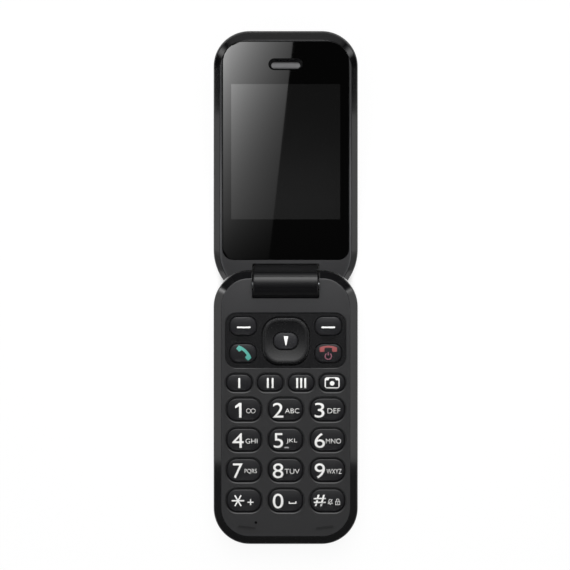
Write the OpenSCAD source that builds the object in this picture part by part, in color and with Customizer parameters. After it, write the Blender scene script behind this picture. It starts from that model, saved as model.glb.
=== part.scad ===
// Flip phone: a keypad half and a display half on one hinge, lying open on its back.
// Lengths are in millimetres. The hinge axis runs along X. The keypad half lies towards -Y,
// and the display half rises towards +Y by the lid's tilt.

/* [Body] */
// Width of both halves
body_w = 56; // [54:0.5:60]
// Thickness of the keypad half
base_t = 11.5; // [11.5:0.25:13]
// Thickness of the display half
lid_t = 8; // [8:0.25:9.5]
// Hinge axis to the tip of the keypad half
base_reach = 100.7; // [100:0.1:110]
// Hinge axis to the tip of the display half
lid_reach = 100.6; // [99:0.1:110]
// Plan radius of the tip corners
tip_r = 14; // [11:0.5:16]
// Plan radius of the keypad half's corners at the hinge
nose_r = 13.8; // [11:0.1:14.5]
// Plan radius of the display half's corners at the hinge
heel_r = 21.5; // [19:0.5:24]
// Hinge axis to the start of those corners on the display half
heel_start = 12.6; // [11:0.1:15]
// Bevel round the keypad face, measured across
base_bevel = 3; // [2.4:0.1:3]
// Rounding round the keypad half's back
base_back_r = 4; // [3:0.25:4.5]
// Bevel round the display face, measured across
lid_bevel = 2.4; // [1.8:0.1:2.6]
// Rounding round the display half's outer side
lid_back_r = 3.6; // [2.5:0.1:4]
// Rounding of the display half's outer side at the hinge
heel_round_r = 5; // [4:0.25:5.5]
// Width of the side walls
side_wall = 2.3; // [2:0.1:2.8]
// Thickness of the keypad face
face_wall = 1.6; // [1.4:0.1:1.8]
// Thickness of the inner floors
floor_t = 1.2; // [1:0.1:1.5]

/* [Hinge] */
// Angle between the two halves when open
open_angle = 164; // [155:1:168]
// Gap between the two faces when closed
closed_gap = 0.4; // [0.4:0.05:0.8]
// Depth of the hinge axis below the keypad face
axis_drop = 2.2; // [2.1:0.05:2.4]
// Hinge axis to the keypad half's end at the hinge
nose_reach = 5.4; // [5.2:0.05:5.7]
// Radius of the hinge barrel
barrel_r = 5.3; // [5:0.05:5.5]
// Length of the hinge barrel
barrel_len = 25.4; // [22:0.2:27]
// Gap between the barrel and the keypad half
hinge_gap = 0.35; // [0.3:0.05:0.5]
// Gap between the two halves at the hinge
nest_gap = 0.4; // [0.35:0.05:0.6]
// Radius of the hinge pins
pin_r = 1.25; // [1:0.05:1.3]
// Running clearance of the pins in their bearings
pin_clear = 0.04; // [0.02:0.01:0.08]
// Depth of the pins in the keypad half's shoulders
pin_hold = 6; // [4:0.5:7]
// Depth of the pins in the barrel
pin_engage = 6.5; // [4:0.5:8]

/* [Display] */
// Side of the display half to the lens
lens_side = 3.4; // [3.2:0.05:5]
// Hinge axis to the near edge of the lens
lens_near = 9.3; // [9:0.1:11]
// Rim between the lens and the tip of the display half
lens_rim = 2.75; // [2.6:0.05:4]
// Corner radius of the lens at the tip
lens_tip_r = 8.3; // [6:0.1:9.5]
// Corner radius of the lens at the hinge
lens_near_r = 4.4; // [3:0.1:6]
// Thickness of the lens
lens_t = 1; // [0.8:0.1:1.2]
// Depth of the lens below the rim
lens_inset = 0.15; // [0.1:0.05:0.25]
// Side of the lens to the display glass
lcd_side = 1.9; // [1.7:0.05:3]
// Lid tip to the far edge of the display glass
lcd_end = 18; // [18:0.1:21]
// Hinge axis to the near edge of the display glass
lcd_near = 23.6; // [23.4:0.2:25]
// Thickness of the display glass and its backlight
lcd_t = 2; // [1.6:0.1:2.2]
// Width of the earpiece opening
ear_w = 13.5; // [11:0.5:15]
// Height of the earpiece opening
ear_h = 4.8; // [4:0.1:5.5]
// Lid tip to the middle of the earpiece opening
ear_from_tip = 12.05; // [11.5:0.05:12.5]

/* [Keypad] */
// Side of the body to the number keys
key_side = 5.1; // [4.8:0.05:7]
// Hinge axis to the number keys
key_start = 44.06; // [43.8:0.02:46]
// Tip of the keypad half to the number keys
key_end = 12.5; // [12:0.1:15]
// Gap between number keys across
key_gap_x = 2.95; // [2.2:0.05:4]
// Gap between rows of number keys
key_gap_y = 2.98; // [2.2:0.02:4]
// Number key corner radius
num_r = 4; // [2:0.1:4.2]
// Side of the body to the quick keys
quick_side = 4.925; // [4.8:0.025:7]
// Gap between quick keys
quick_gap = 2.05; // [1.8:0.05:3]
// Quick key length
quick_l = 6.5; // [5.5:0.1:7]
// Quick key corner radius
quick_r = 3.1; // [1.5:0.1:3.2]
// Hinge axis to the row of quick keys
quick_row = 38.05; // [37.6:0.05:38.6]
// Side of the navigation panel to the menu and call keys
side_key_rim = 1.75; // [1.2:0.05:2.5]
// Gap between the rocker key and the menu and call keys
side_key_gap = 2.2; // [1.8:0.05:3]
// Menu and call key length
side_key_l = 7.3; // [6.5:0.1:8]
// Menu and call key corner radius
side_key_r = 3.1; // [2:0.1:3.2]
// Hinge axis to the menu keys
menu_row = 16; // [15.8:0.05:16.4]
// Hinge axis to the call keys
call_row = 26.6; // [26.2:0.05:27]
// Rocker key width
rock_w = 18.4; // [16:0.1:18.8]
// Rocker key length
rock_l = 18.6; // [16:0.1:18.8]
// Rocker key corner radius
rock_r = 6.6; // [5:0.1:7]
// Rim of the rocker key round its dish
rock_rim = 1.7; // [1.4:0.1:2]
// Depth of the rocker key's dish at its middle
rock_dish = 0.85; // [0.6:0.05:0.9]
// Hinge axis to the middle of the rocker key
rock_row = 21.8; // [21.6:0.05:22]
// Select key width
select_w = 9.5; // [8:0.1:10]
// Select key length
select_l = 6.6; // [5.5:0.1:7]
// Side of the body to the navigation panel
panel_side = 4.45; // [4.2:0.05:6]
// Rim of the navigation panel before and behind the rocker key
panel_rim = 1.4; // [1.2:0.05:2]
// Corner radius of the navigation panel
panel_r = 4.4; // [3:0.1:5]
// Depth of the navigation panel below the keypad face
panel_inset = 0.5; // [0.4:0.05:0.6]
// Gap between a key and its opening
key_clear = 0.3; // [0.25:0.05:0.4]
// Width of the sunk border round a key
well_rim = 0.8; // [0.4:0.05:0.9]
// Depth of that border
well_depth = 0.45; // [0.3:0.05:0.6]
// Slope of the border's wall, measured across
well_slope = 0.4; // [0.2:0.05:0.45]
// Rise of the crown on the key caps
cap_crown = 0.4; // [0.2:0.05:0.5]
// Height of the key tops above the keypad face
key_rise = 0.1; // [0:0.02:0.12]
// Travel of a key
key_travel = 0.3; // [0.2:0.02:0.32]
// Largest tilt of the rocker key
rock_tilt = 1.5; // [1:0.1:1.8]

/* [Inside] */
// Thickness of the battery cover
door_t = 1.2; // [1:0.1:1.3]
// Side of the body to the battery cover
door_side = 4.7; // [4.6:0.1:6]
// Tip of the keypad half to the battery cover
door_end = 4.8; // [4.6:0.1:6]
// Width of the battery
cell_w = 34; // [30:0.5:35]
// Tip of the keypad half to the battery
cell_end = 12.3; // [12.2:0.1:15]
// Hinge axis to the near end of the battery
cell_near = 38.4; // [38:0.1:39]
// Thickness of the circuit boards
board_t = 0.8; // [0.6:0.1:0.9]
// Thickness of the keypad mat
mat_t = 0.8; // [0.6:0.1:0.9]
// Radius of the case screws' shanks
screw_r = 0.7; // [0.6:0.05:0.8]
// Side of the body to the case screws
screw_side = 6.8; // [6.6:0.1:7.2]
// Tip of the keypad half to the case screws
screw_end = 8.9; // [8.8:0.1:9.6]
// Fit between a piece and its pocket
fit = 0.1; // [0.05:0.01:0.15]

/* [Hidden] */
$fn = 64;
eps = 0.02;
over = 1;
big = 300;
seam = 0.05;
lid_tilt = 180 - open_angle;
hinge_z = base_t - axis_drop;
lid_drop = axis_drop + closed_gap;
lid_span_y = (lid_reach - lid_back_r) * cos(lid_tilt) + (lid_drop + lid_t - lid_back_r) * sin(lid_tilt)
    + lid_back_r;
hinge_y = (base_reach - lid_span_y) / 2;
face_z = base_t;
bevel_out_r = 1.2;
bevel_in_r = 0.6;

// Heights in the keypad half, from its face down to the battery and its cover
cover_under = face_z - face_wall;
flange_t = 0.5;
flange_w = 0.5;
flange_z = cover_under - key_travel - flange_t;
pusher_h = 0.66;
key_z = flange_z - pusher_h;
key_slack = 0.05;
mat_top = key_z - key_travel - key_slack;
mat_z = mat_top - mat_t;
sheet_t = 0.15;
board_top = mat_z - sheet_t - eps;
board_z = board_top - board_t;
deck_t = 0.5;
deck_z = board_z - deck_t - eps;
cell_z = door_t + fit;
cell_t = deck_z - fit - cell_z;
split_drop = 0.25;
split_z = board_top - split_drop;
base_floor = door_t + floor_t;
under_room = 0.92;
bay_h = board_z - base_floor - under_room;

// Keys across and along the keypad half
num_w = (body_w - 2 * key_side - 2 * key_gap_x) / 3;
num_l = (base_reach - key_end - key_start - 3 * key_gap_y) / 4;
num_pitch_x = num_w + key_gap_x;
num_pitch_y = num_l + key_gap_y;
num_row = key_start + num_l / 2;
quick_w = (body_w - 2 * quick_side - 3 * quick_gap) / 4;
quick_pitch = quick_w + quick_gap;
panel_w = body_w - 2 * panel_side;
panel_l = rock_l + 2 * panel_rim;
side_key_w = panel_w / 2 - side_key_rim - rock_w / 2 - side_key_gap;
side_key_x = panel_w / 2 - side_key_rim - side_key_w / 2;
corner_flat = 0.1;

// Navigation panel and rocker
panel_t = 0.6;
panel_shift = 0.2;
panel_row = rock_row - panel_shift;
panel_z = face_z - panel_inset - panel_t;
panel_flare = 0.3;
groove_l = 5.6;
groove_w = 0.3;
groove_depth = 0.2;
groove_pitch = 0.6;
groove_shift = 0.4;
carrier_t = 0.4;
carrier_rim = 1.2;
carrier_w = rock_w - 2 * carrier_rim;
carrier_l = rock_l - 2 * carrier_rim;
carrier_r = 4;
tilt_room = 0.14;
rock_gap = carrier_l / 2 * sin(rock_tilt) + tilt_room;
carrier_z = mat_top + rock_gap;
rock_z = carrier_z + carrier_t + rock_gap;
rock_flange_t = 0.45;
ridge_r = 0.33;
ridge_len = 2;
rock_edge_r = 1.2;
rock_switch = 6.4;
side_key_rise = 0.3;
side_key_top = panel_z + panel_t + side_key_rise;
select_rise = 0.45;
select_top = face_z + key_rise - rock_dish + select_rise;
select_r = select_l / 2 - corner_flat;

// Key caps
cap_edge_r = 0.6;
pusher_w = 4;
pusher_l = 3;

// Keypad half
end_wall = barrel_r + hinge_gap + side_wall;
mic_x = -11.6;
mic_end = 8.3;
mic_row = base_reach - mic_end;
mic_hole_r = 0.5;
mic_r = 2;
mic_t = 1.2;
buffer_x = 15.1;
buffer_end = 6.5;
buffer_row = base_reach - buffer_end;
buffer_l = 6.8;
buffer_w = 0.7;
buffer_turn = 7;
buffer_rise = 0.3;
buffer_sink = 0.4;
screw_x = body_w / 2 - screw_side;
screw_near = 2.2;
screw_rows = [end_wall + screw_near, base_reach - screw_end];
screw_play = 0.1;
screw_tip = 0.6;
post_r = 1.75;
board_hole_r = screw_r + 0.25;
head_r = 1.4;
head_t = 0.8;
door_w = body_w - 2 * door_side;
door_near = 6.8;
door_far = base_reach - door_end;
door_r = 5;
cell_l = base_reach - cell_end - cell_near;
cell_edge_r = 1;
cell_round = 0.4;
bay_wall = 1.1;
bay_w = cell_w + 4 * fit;
bay_l = cell_l + 4 * fit;
bay_mid = cell_near + cell_l / 2;
mat_rim = 0.7;
mat_w = body_w - 2 * key_side + 2 * mat_rim;
mat_near = screw_rows[0] + post_r + seam;
mat_far = base_reach - key_end + mat_rim;
mat_r = 2;
dome_r = 2.1;
dome_clear = 0.2;
dome_h = 0.35;
dome_ball_r = (dome_r * dome_r + dome_h * dome_h) / (2 * dome_h);
socket_w = 8.94;
socket_h = 3.2;
socket_l = 7.3;
socket_wall = 0.3;
socket_set = 0.8;
speaker_w = 13;
speaker_l = 8.4;
speaker_t = bay_h;
speaker_r = 1.5;
speaker_x = -10.5;
speaker_row = 14.4;
motor_r = 4;
motor_t = 2.7;
motor_x = 9;
motor_row = 14.6;
sim_w = 15;
sim_l = 12.6;
sim_t = 1.4;
sim_x = -9.6;
sim_row = 28;
shield_w = 15;
shield_l = 12.6;
shield_t = 1.8;
shield_x = 9.6;
contact_w = 9;
contact_l = 2.2;
contact_h = bay_h;
sim_gap = 4;

// Display half, in depths below the display face
lens_w = body_w - 2 * lens_side;
lens_floor = lens_inset + lens_t + seam;
lens_edge_r = 0.25;
lid_split = 4;
frame_under = lens_floor + floor_t;
lens_far = lid_reach - lens_rim;
lcd_w = lens_w - 2 * lcd_side;
lcd_l = lid_reach - lcd_end - lcd_near;
lcd_top = lens_floor + seam;
tray_t = 0.4;
tray_lip = 0.6;
tray_z = lcd_top + lcd_t + seam;
lid_board_z = tray_z + tray_t + 2 * seam;
lid_board_inset = 0.4;
cover_in = lid_t - floor_t;
lid_screw_side = 4;
lid_screw_near = 4.6;
lid_screw_end = 6.2;
lid_screw_x = lens_w / 2 - lid_screw_side;
lid_screw_rows = [lens_near + lid_screw_near, lens_far - lid_screw_end];
lid_head_t = 0.55;
lid_head_seat = 0.6;
lid_corner_r = 6;
ear_row = lid_reach - ear_from_tip;
ear_bar_w = 11.2;
ear_bar_h = 2.6;
ear_bar_rise = 0.25;
ear_bar_low = 0.6;
ear_plate_t = 0.6;
ear_plate_h = ear_h - 2 * fit;
ear_bar_top = ear_bar_h / 2 - ear_bar_low;
ear_hole_row = (ear_plate_h / 2 + ear_bar_top) / 2;
ear_duct_w = 9.2;
ear_duct_h = ear_plate_h / 2 - ear_bar_top - 2 * fit;
receiver_w = 14;
receiver_l = 7;
receiver_t = 2.2;
receiver_r = 2.5;
camera_row = 17.6;
camera_w = 8;
camera_win_r = 3.4;
camera_win_t = 0.9;
camera_hole_r = 2.4;
magnet_side = 12;
magnet_x = body_w / 2 - magnet_side;
notch_w = barrel_len + 2 * hinge_gap;
web_reach = 2.65;
notch_far = barrel_r + web_reach;
tongue_w = 20;
tongue_l = 4.45;
tongue_top = 2.9;
tongue_t = 2.4;
web_top = 2.6;
web_rise = 0.7;
heel_end = 4.6;
bush_r = 3;
bush_len = 5;
bush_set = 0.2;
bush_fit = 0.05;
barrel_mid = 1;
barrel_edge_r = 0.6;
nose_clear = 0.2;

NUM_NAMES = ["key_1", "key_2", "key_3", "key_4", "key_5", "key_6",
             "key_7", "key_8", "key_9", "key_star", "key_0", "key_hash"];
QUICK_NAMES = ["quick_key_1", "quick_key_2", "quick_key_3", "camera_key"];
SIDE_NAMES = ["menu_key_left", "menu_key_right", "call_key", "end_key"];

// A corner radius, limited by the cap that it rounds
function corner(r, w, l) = min(r, min(w, l) / 2 - corner_flat);

// Each key: name, x, distance from the hinge axis, width, length, corner radius, height of its top
NUM_KEYS = [for (i = [0:11])
    [NUM_NAMES[i], (i % 3 - 1) * num_pitch_x, num_row + floor(i / 3) * num_pitch_y,
     num_w, num_l, corner(num_r, num_w, num_l), face_z + key_rise]];
QUICK_KEYS = [for (i = [0:3])
    [QUICK_NAMES[i], (i - 1.5) * quick_pitch, quick_row, quick_w, quick_l,
     corner(quick_r, quick_w, quick_l), face_z + key_rise]];
SIDE_KEYS = [for (i = [0:3])
    [SIDE_NAMES[i], (i % 2 == 0 ? -1 : 1) * side_key_x, i < 2 ? menu_row : call_row,
     side_key_w, side_key_l, corner(side_key_r, side_key_w, side_key_l), side_key_top]];
KEYS = concat(NUM_KEYS, QUICK_KEYS, SIDE_KEYS);
WELL_KEYS = concat(NUM_KEYS, QUICK_KEYS);

// Placing

module on_base() {
    translate([0, hinge_y, 0]) children();
}

module on_lid() {
    translate([0, hinge_y, hinge_z]) rotate([lid_tilt, 0, 0]) translate([0, 0, -lid_drop]) children();
}

// The hinge axis, with what stands along Z laid along X
module on_axis() {
    translate([0, hinge_y, hinge_z]) rotate([0, 90, 0]) children();
}

// A profile in Y and Z, run across the phone
module across(width) {
    rotate([90, 0, 90]) linear_extrude(width, center = true) children();
}

// Basic forms

module rounded_rect(w, l, r) {
    square([w - 2 * r, l], center = true);
    square([w, l - 2 * r], center = true);
    for (sx = [-1, 1], sy = [-1, 1])
        translate([sx * (w / 2 - r), sy * (l / 2 - r)]) circle(r);
}

// A rounded rectangle from y0 to y1, with its own corner radius at each end
module plate_outline(w, y0, y1, r0, r1) {
    translate([-w / 2, y0 + r0]) square([w, y1 - y0 - r0 - r1]);
    translate([-w / 2 + r0, y0]) square([w - 2 * r0, r0 + eps]);
    translate([-w / 2 + r1, y1 - r1 - eps]) square([w - 2 * r1, r1 + eps]);
    for (s = [-1, 1]) {
        translate([s * (w / 2 - r0), y0 + r0]) circle(r0);
        translate([s * (w / 2 - r1), y1 - r1]) circle(r1);
    }
}

module pill(w, h) {
    square([w - h, h], center = true);
    for (s = [-1, 1]) translate([s * (w - h) / 2, 0]) circle(h / 2);
}

// The bevelled upper corner of a section, from its top down, with both edges of the bevel rounded
module bevel_corner(reach, bevel) {
    out_cut = bevel_out_r * tan(22.5);
    in_cut = bevel_in_r * tan(22.5);
    polygon([[0, -bevel - out_cut], [reach, -bevel - out_cut],
             [reach - out_cut * cos(45), -bevel + out_cut * sin(45)],
             [reach - bevel + in_cut * cos(45), -in_cut * sin(45)],
             [reach - bevel - in_cut, 0], [0, 0]]);
    translate([reach - bevel_out_r, -bevel - out_cut]) circle(bevel_out_r);
    translate([reach - bevel - in_cut, -bevel_in_r]) circle(bevel_in_r);
}

// Section through a slab's edge: a rectangle whose outer corners are rounded, or bevelled above
module edge_section(reach, h, low_r, high_r, bevel) {
    top_h = bevel > 0 ? bevel + bevel_out_r * tan(22.5) : high_r;
    translate([0, low_r]) square([reach, h - low_r - top_h]);
    if (bevel > 0) translate([0, h]) bevel_corner(reach, bevel);
    if (low_r > 0) {
        square([reach - low_r, low_r]);
        translate([reach - low_r, low_r]) intersection() {
            circle(low_r);
            translate([0, -low_r]) square(low_r);
        }
    }
    if (high_r > 0) {
        translate([0, h - high_r]) square([reach - high_r, high_r]);
        translate([reach - high_r, h - high_r]) intersection() {
            circle(high_r);
            square(high_r);
        }
    }
}

// A plate from y0 to y1 with plan corners r0 and r1, a rounded lower edge and a rounded or bevelled upper one
module slab(w, y0, y1, h, r0, r1, low_r, high_r, bevel = 0) {
    translate([0, y1 - r1, 0]) rotate([90, 0, 0]) linear_extrude(y1 - r1 - y0 - r0) {
        edge_section(w / 2, h, low_r, high_r, bevel);
        mirror([1, 0]) edge_section(w / 2, h, low_r, high_r, bevel);
    }
    translate([w / 2 - r0, y0 + r0, 0]) rotate([0, 0, -90]) rotate([90, 0, 0])
        linear_extrude(w - 2 * r0) edge_section(r0, h, low_r, high_r, bevel);
    translate([-w / 2 + r1, y1 - r1, 0]) rotate([0, 0, 90]) rotate([90, 0, 0])
        linear_extrude(w - 2 * r1) edge_section(r1, h, low_r, high_r, bevel);
    for (s = [0, 1]) {
        translate([(s == 0 ? -1 : 1) * (w / 2 - r0), y0 + r0, 0]) rotate([0, 0, s == 0 ? 180 : 270])
            rotate_extrude(angle = 90) edge_section(r0, h, low_r, high_r, bevel);
        translate([(s == 0 ? 1 : -1) * (w / 2 - r1), y1 - r1, 0]) rotate([0, 0, s == 0 ? 0 : 90])
            rotate_extrude(angle = 90) edge_section(r1, h, low_r, high_r, bevel);
    }
}

// Section through a key cap's edge: a wide crown that runs into a rounded rim
module cap_section(reach, h, rim_r, crown) {
    ball_r = (reach * reach + crown * crown) / (2 * crown);
    rim_x = reach - rim_r;
    rim_z = h - ball_r + sqrt(pow(ball_r - rim_r, 2) - rim_x * rim_x);
    meet_x = rim_x * ball_r / (ball_r - rim_r);
    square([reach, rim_z]);
    translate([rim_x, rim_z]) intersection() {
        circle(rim_r);
        square(rim_r);
    }
    intersection() {
        translate([0, h - ball_r]) circle(ball_r, $fn = 360);
        square([meet_x, h]);
    }
}

// Section through a recess whose wall leans outwards
module flare_section(reach, depth, slope) {
    lift = (depth + over) / depth;
    polygon([[0, 0], [reach, 0], [reach + slope * lift, depth + over], [0, depth + over]]);
}

// A section turned round the corners of a rounded rectangle and run along its sides.
// The section reaches from the corners' axis outwards.
module swept_plate(w, l, r, h) {
    side_x = w / 2 - r;
    side_y = l / 2 - r;
    translate([-side_x, -side_y, 0]) cube([2 * side_x, 2 * side_y, h]);
    for (a = [0, 180]) rotate(a) {
        translate([side_x, side_y, 0]) rotate_extrude(angle = 90) children();
        translate([-side_x, side_y, 0]) rotate(90) rotate_extrude(angle = 90) children();
        translate([side_x, side_y, 0]) rotate([90, 0, 0]) linear_extrude(2 * side_y) children();
        translate([-side_x, side_y, 0]) rotate([90, 0, 90]) linear_extrude(2 * side_x) children();
    }
}

module pillow(w, l, h, r) {
    swept_plate(w, l, r, h) cap_section(r, h, cap_edge_r, cap_crown);
}

module flared_recess(w, l, r, depth, slope) {
    swept_plate(w, l, r, depth + over) flare_section(r, depth, slope);
}

module bar(x, row, z, w, l, t) {
    translate([x - w / 2, -row - l / 2, z]) cube([w, l, t]);
}

// Outer form of the keypad half

// The keypad half's plan, enlarged all round
module base_plan(grow) {
    plate_outline(body_w + 2 * grow, -base_reach - grow, nose_reach + grow, tip_r + grow, nose_r + grow);
}

// Half section of the round body that the display half swings about: the nose's plan, turned
module nose_section() {
    mid = body_w / 2 - nose_r;
    intersection() {
        translate([0, -body_w / 2]) square([nose_reach + over, body_w]);
        union() {
            translate([nose_reach - nose_r, -mid]) square([nose_r + nose_clear, 2 * mid]);
            for (s = [-1, 1]) translate([nose_reach - nose_r, s * mid]) circle(nose_r + nose_clear);
        }
    }
}

// What the swing of the display half takes off the nose, with a slope down to the back
module nose_relief() {
    turn = 60;
    slope = 30;
    tangent_y = (nose_reach + nose_clear) * cos(turn);
    tangent_z = -(nose_reach + nose_clear) * sin(turn);
    low_z = -hinge_z - over;
    low_y = tangent_y - (tangent_z - low_z) / tan(slope);
    far = 2 * nose_reach;
    translate([0, 0, hinge_z]) difference() {
        across(body_w + 2 * over)
            polygon([[0, 0], [tangent_y, tangent_z], [low_y, low_z], [far, low_z], [far, far], [0, far]]);
        rotate([0, 90, 0]) rotate_extrude() nose_section();
    }
}

// The saddle that the hinge barrel turns in
module barrel_saddle() {
    lip = 2;
    translate([0, 0, hinge_z]) rotate([0, 90, 0])
        cylinder(r = barrel_r + hinge_gap, h = notch_w, center = true);
    translate([-notch_w / 2, -lip, -over]) cube([notch_w, lip + nose_reach + over, base_t + 2 * over]);
}

module base_form() {
    difference() {
        slab(body_w, -base_reach, nose_reach, base_t, tip_r, nose_r, base_back_r, 0, base_bevel);
        nose_relief();
        barrel_saddle();
    }
}

module base_cavity(inset, z0, z1) {
    near_r = nose_r - inset;
    far_r = tip_r - inset;
    translate([0, 0, z0]) linear_extrude(z1 - z0)
        plate_outline(body_w - 2 * inset, -base_reach + inset, -end_wall, far_r, near_r / 2);
}

module at_screws() {
    for (sx = [-1, 1], row = screw_rows) translate([sx * screw_x, -row, 0]) children();
}

module pin_bores() {
    end_room = 0.5;
    depth = notch_w / 2 + pin_hold + end_room;
    translate([0, 0, hinge_z]) rotate([0, 90, 0])
        cylinder(r = pin_r + pin_clear, h = 2 * depth, center = true);
}

// Keypad half: shells

module key_opening(k, grow, z0, z1) {
    translate([k[1], -k[2], z0]) linear_extrude(z1 - z0)
        rounded_rect(k[3] + 2 * grow, k[4] + 2 * grow, k[5] + grow);
}

module rocker_opening(grow, z0, z1) {
    translate([0, -rock_row, z0]) linear_extrude(z1 - z0)
        rounded_rect(rock_w + 2 * grow, rock_l + 2 * grow, rock_r + grow);
}

// The sunk border round a key, with a sloping wall
module key_well(k) {
    floor_rim = well_rim - well_slope;
    translate([k[1], -k[2], face_z - well_depth])
        flared_recess(k[3] + 2 * floor_rim, k[4] + 2 * floor_rim, k[5] + floor_rim, well_depth, well_slope);
}

module panel_prism(grow, z0, z1) {
    translate([0, -panel_row, z0]) linear_extrude(z1 - z0)
        rounded_rect(panel_w + 2 * grow, panel_l + 2 * grow, panel_r + grow);
}

module at_buffers() {
    for (s = [-1, 1]) translate([s * buffer_x, -buffer_row, 0]) rotate([0, 0, s * buffer_turn]) children();
}

module base_front_cover() {
    color("#424242") on_base() difference() {
        union() {
            difference() {
                intersection() {
                    base_form();
                    translate([-big / 2, -big / 2, split_z]) cube([big, big, base_t]);
                }
                base_cavity(side_wall, split_z - over, cover_under);
            }
            at_screws() translate([0, 0, board_top + eps])
                cylinder(r = post_r, h = cover_under - board_top);
        }
        for (k = KEYS) key_opening(k, key_clear, cover_under - over, face_z + over);
        for (k = WELL_KEYS) key_well(k);
        panel_prism(0, panel_z, face_z);
        translate([0, -panel_row, face_z - panel_inset])
            flared_recess(panel_w, panel_l, panel_r, panel_inset, panel_flare);
        rocker_opening(flange_w + key_clear, cover_under - over, panel_z + eps);
        translate([mic_x, -mic_row, cover_under - over]) cylinder(r = mic_hole_r, h = face_wall + 2 * over);
        at_buffers() translate([0, 0, face_z - buffer_sink]) linear_extrude(over)
            pill(buffer_l + fit, buffer_w + fit);
        at_screws() translate([0, 0, board_top - over])
            cylinder(r = screw_r, h = cover_under - board_top + over);
        pin_bores();
    }
}

module door_prism(grow, z0, z1) {
    translate([0, 0, z0]) linear_extrude(z1 - z0)
        plate_outline(door_w + 2 * grow, -door_far - grow, -door_near + grow, door_r + grow, door_r + grow);
}

// Slots that let the loudspeaker out
module speaker_slots(z0, z1) {
    count = 5;
    slot_pitch = 2;
    slot_l = 6;
    slot_w = 0.9;
    for (i = [0:count - 1])
        translate([speaker_x + (i - (count - 1) / 2) * slot_pitch, -speaker_row, z0])
            linear_extrude(z1 - z0) rotate(90) pill(slot_l, slot_w);
}

module socket_prism(grow, l) {
    translate([0, -base_reach + socket_set + l, board_z - socket_h / 2]) rotate([90, 0, 0])
        linear_extrude(l) pill(socket_w + 2 * grow, socket_h + 2 * grow - eps);
}

module base_back_cover() {
    contact_room = 0.5;
    pocket_z = board_z - eps;
    color("#303032") on_base() difference() {
        union() {
            difference() {
                intersection() {
                    base_form();
                    translate([-big / 2, -big / 2, -over]) cube([big, big, split_z + over - seam]);
                }
                base_cavity(side_wall, base_floor, split_z + over);
            }
            difference() {
                bar(0, bay_mid, base_floor - eps, bay_w + 2 * bay_wall, bay_l + 2 * bay_wall,
                    deck_z + deck_t - base_floor + eps);
                bar(0, cell_near - bay_wall, base_floor, contact_w + 2 * contact_room, 3 * bay_wall, big);
            }
            at_screws() translate([0, 0, base_floor - eps])
                cylinder(r = post_r, h = pocket_z - base_floor);
        }
        door_prism(fit, -over, door_t + fit / 2);
        bar(0, bay_mid, -over, bay_w, bay_l, deck_z + over);
        bar(0, sim_row, -over, sim_w + shield_w + 2 * sim_gap, sim_l + over, base_floor + 2 * over);
        at_screws() translate([0, 0, -over]) cylinder(r = screw_r + screw_play, h = big);
        at_screws() translate([0, 0, -over]) cylinder(r = head_r + fit, h = door_t + head_t + fit + over);
        speaker_slots(-over, base_floor + over);
        translate([0, -base_reach - over + socket_l, board_z - socket_h / 2]) rotate([90, 0, 0])
            linear_extrude(socket_l) pill(socket_w + 2 * fit, socket_h + 2 * fit);
        pin_bores();
    }
}

module battery_cover() {
    nail_r = 6;
    nail_depth = 0.5;
    color("#2c2c2e") on_base() difference() {
        door_prism(0, 0, door_t);
        speaker_slots(-over, door_t + over);
        translate([0, -door_far, -nail_r + nail_depth]) sphere(nail_r);
    }
}

// Keypad half: inside

module battery() {
    color("#6d7478") on_base() translate([0, 0, cell_z])
        slab(cell_w, -cell_near - cell_l, -cell_near, cell_t, cell_edge_r, cell_edge_r, 0, cell_round);
}

module main_board() {
    edge_gap = 0.6;
    inset = side_wall + edge_gap;
    color("#1f5a3c") on_base() difference() {
        translate([0, 0, board_z]) linear_extrude(board_t)
            plate_outline(body_w - 2 * inset, -base_reach + inset, -end_wall - edge_gap, tip_r - inset,
                          nose_r / 2 - inset / 2);
        at_screws() translate([0, 0, board_z - over]) cylinder(r = board_hole_r, h = board_t + 2 * over);
    }
}

module board_shield() {
    can = 0.3;
    color("#b9bcbf") on_base() difference() {
        bar(shield_x, sim_row, board_z - shield_t, shield_w, shield_l, shield_t);
        bar(shield_x, sim_row, board_z - shield_t + can, shield_w - 2 * can, shield_l - 2 * can, shield_t);
    }
}

module sim_holder() {
    lip = 1.2;
    sheet = 0.3;
    card_t = 0.8;
    color("#c9c5bb") on_base() difference() {
        bar(sim_x, sim_row, board_z - sim_t, sim_w, sim_l, sim_t - eps);
        bar(sim_x, sim_row + lip, board_z - sim_t + sheet, sim_w - 2 * lip, sim_l, card_t);
        bar(sim_x, sim_row + lip, board_z - sim_t - over, sim_w - 4 * lip, sim_l, sheet + card_t + over);
    }
}

module battery_contacts() {
    blade_pitch = 2.5;
    blade = [1, 0.6, 1.2];
    blade_z = board_z - contact_h + 0.8;
    gap = 0.5;
    row = cell_near - fit - contact_l / 2 - gap;
    color("#17171a") on_base() {
        bar(0, row, board_z - contact_h, contact_w, contact_l, contact_h - eps);
        for (i = [-1:1])
            bar(i * blade_pitch, row + contact_l / 2 + blade[1] / 3, blade_z, blade[0], blade[1], blade[2]);
    }
}

// One switch under each key, and four more round the rocker key
module at_switches() {
    for (k = KEYS) translate([k[1], -k[2], 0]) children();
    translate([0, -rock_row, 0]) children();
    for (a = [0:90:270])
        translate([rock_switch * cos(a), -rock_row + rock_switch * sin(a), 0]) children();
}

module mat_outline() {
    translate([0, -(mat_near + mat_far) / 2]) rounded_rect(mat_w, mat_far - mat_near, mat_r);
}

module dome_sheet() {
    color("#d0d2d4") on_base() {
        translate([0, 0, board_top + eps]) linear_extrude(sheet_t) mat_outline();
        at_switches() intersection() {
            translate([0, 0, mat_z + dome_h - dome_ball_r]) sphere(dome_ball_r);
            translate([0, 0, mat_z - eps]) cylinder(r = dome_r + over, h = over);
        }
    }
}

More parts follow.
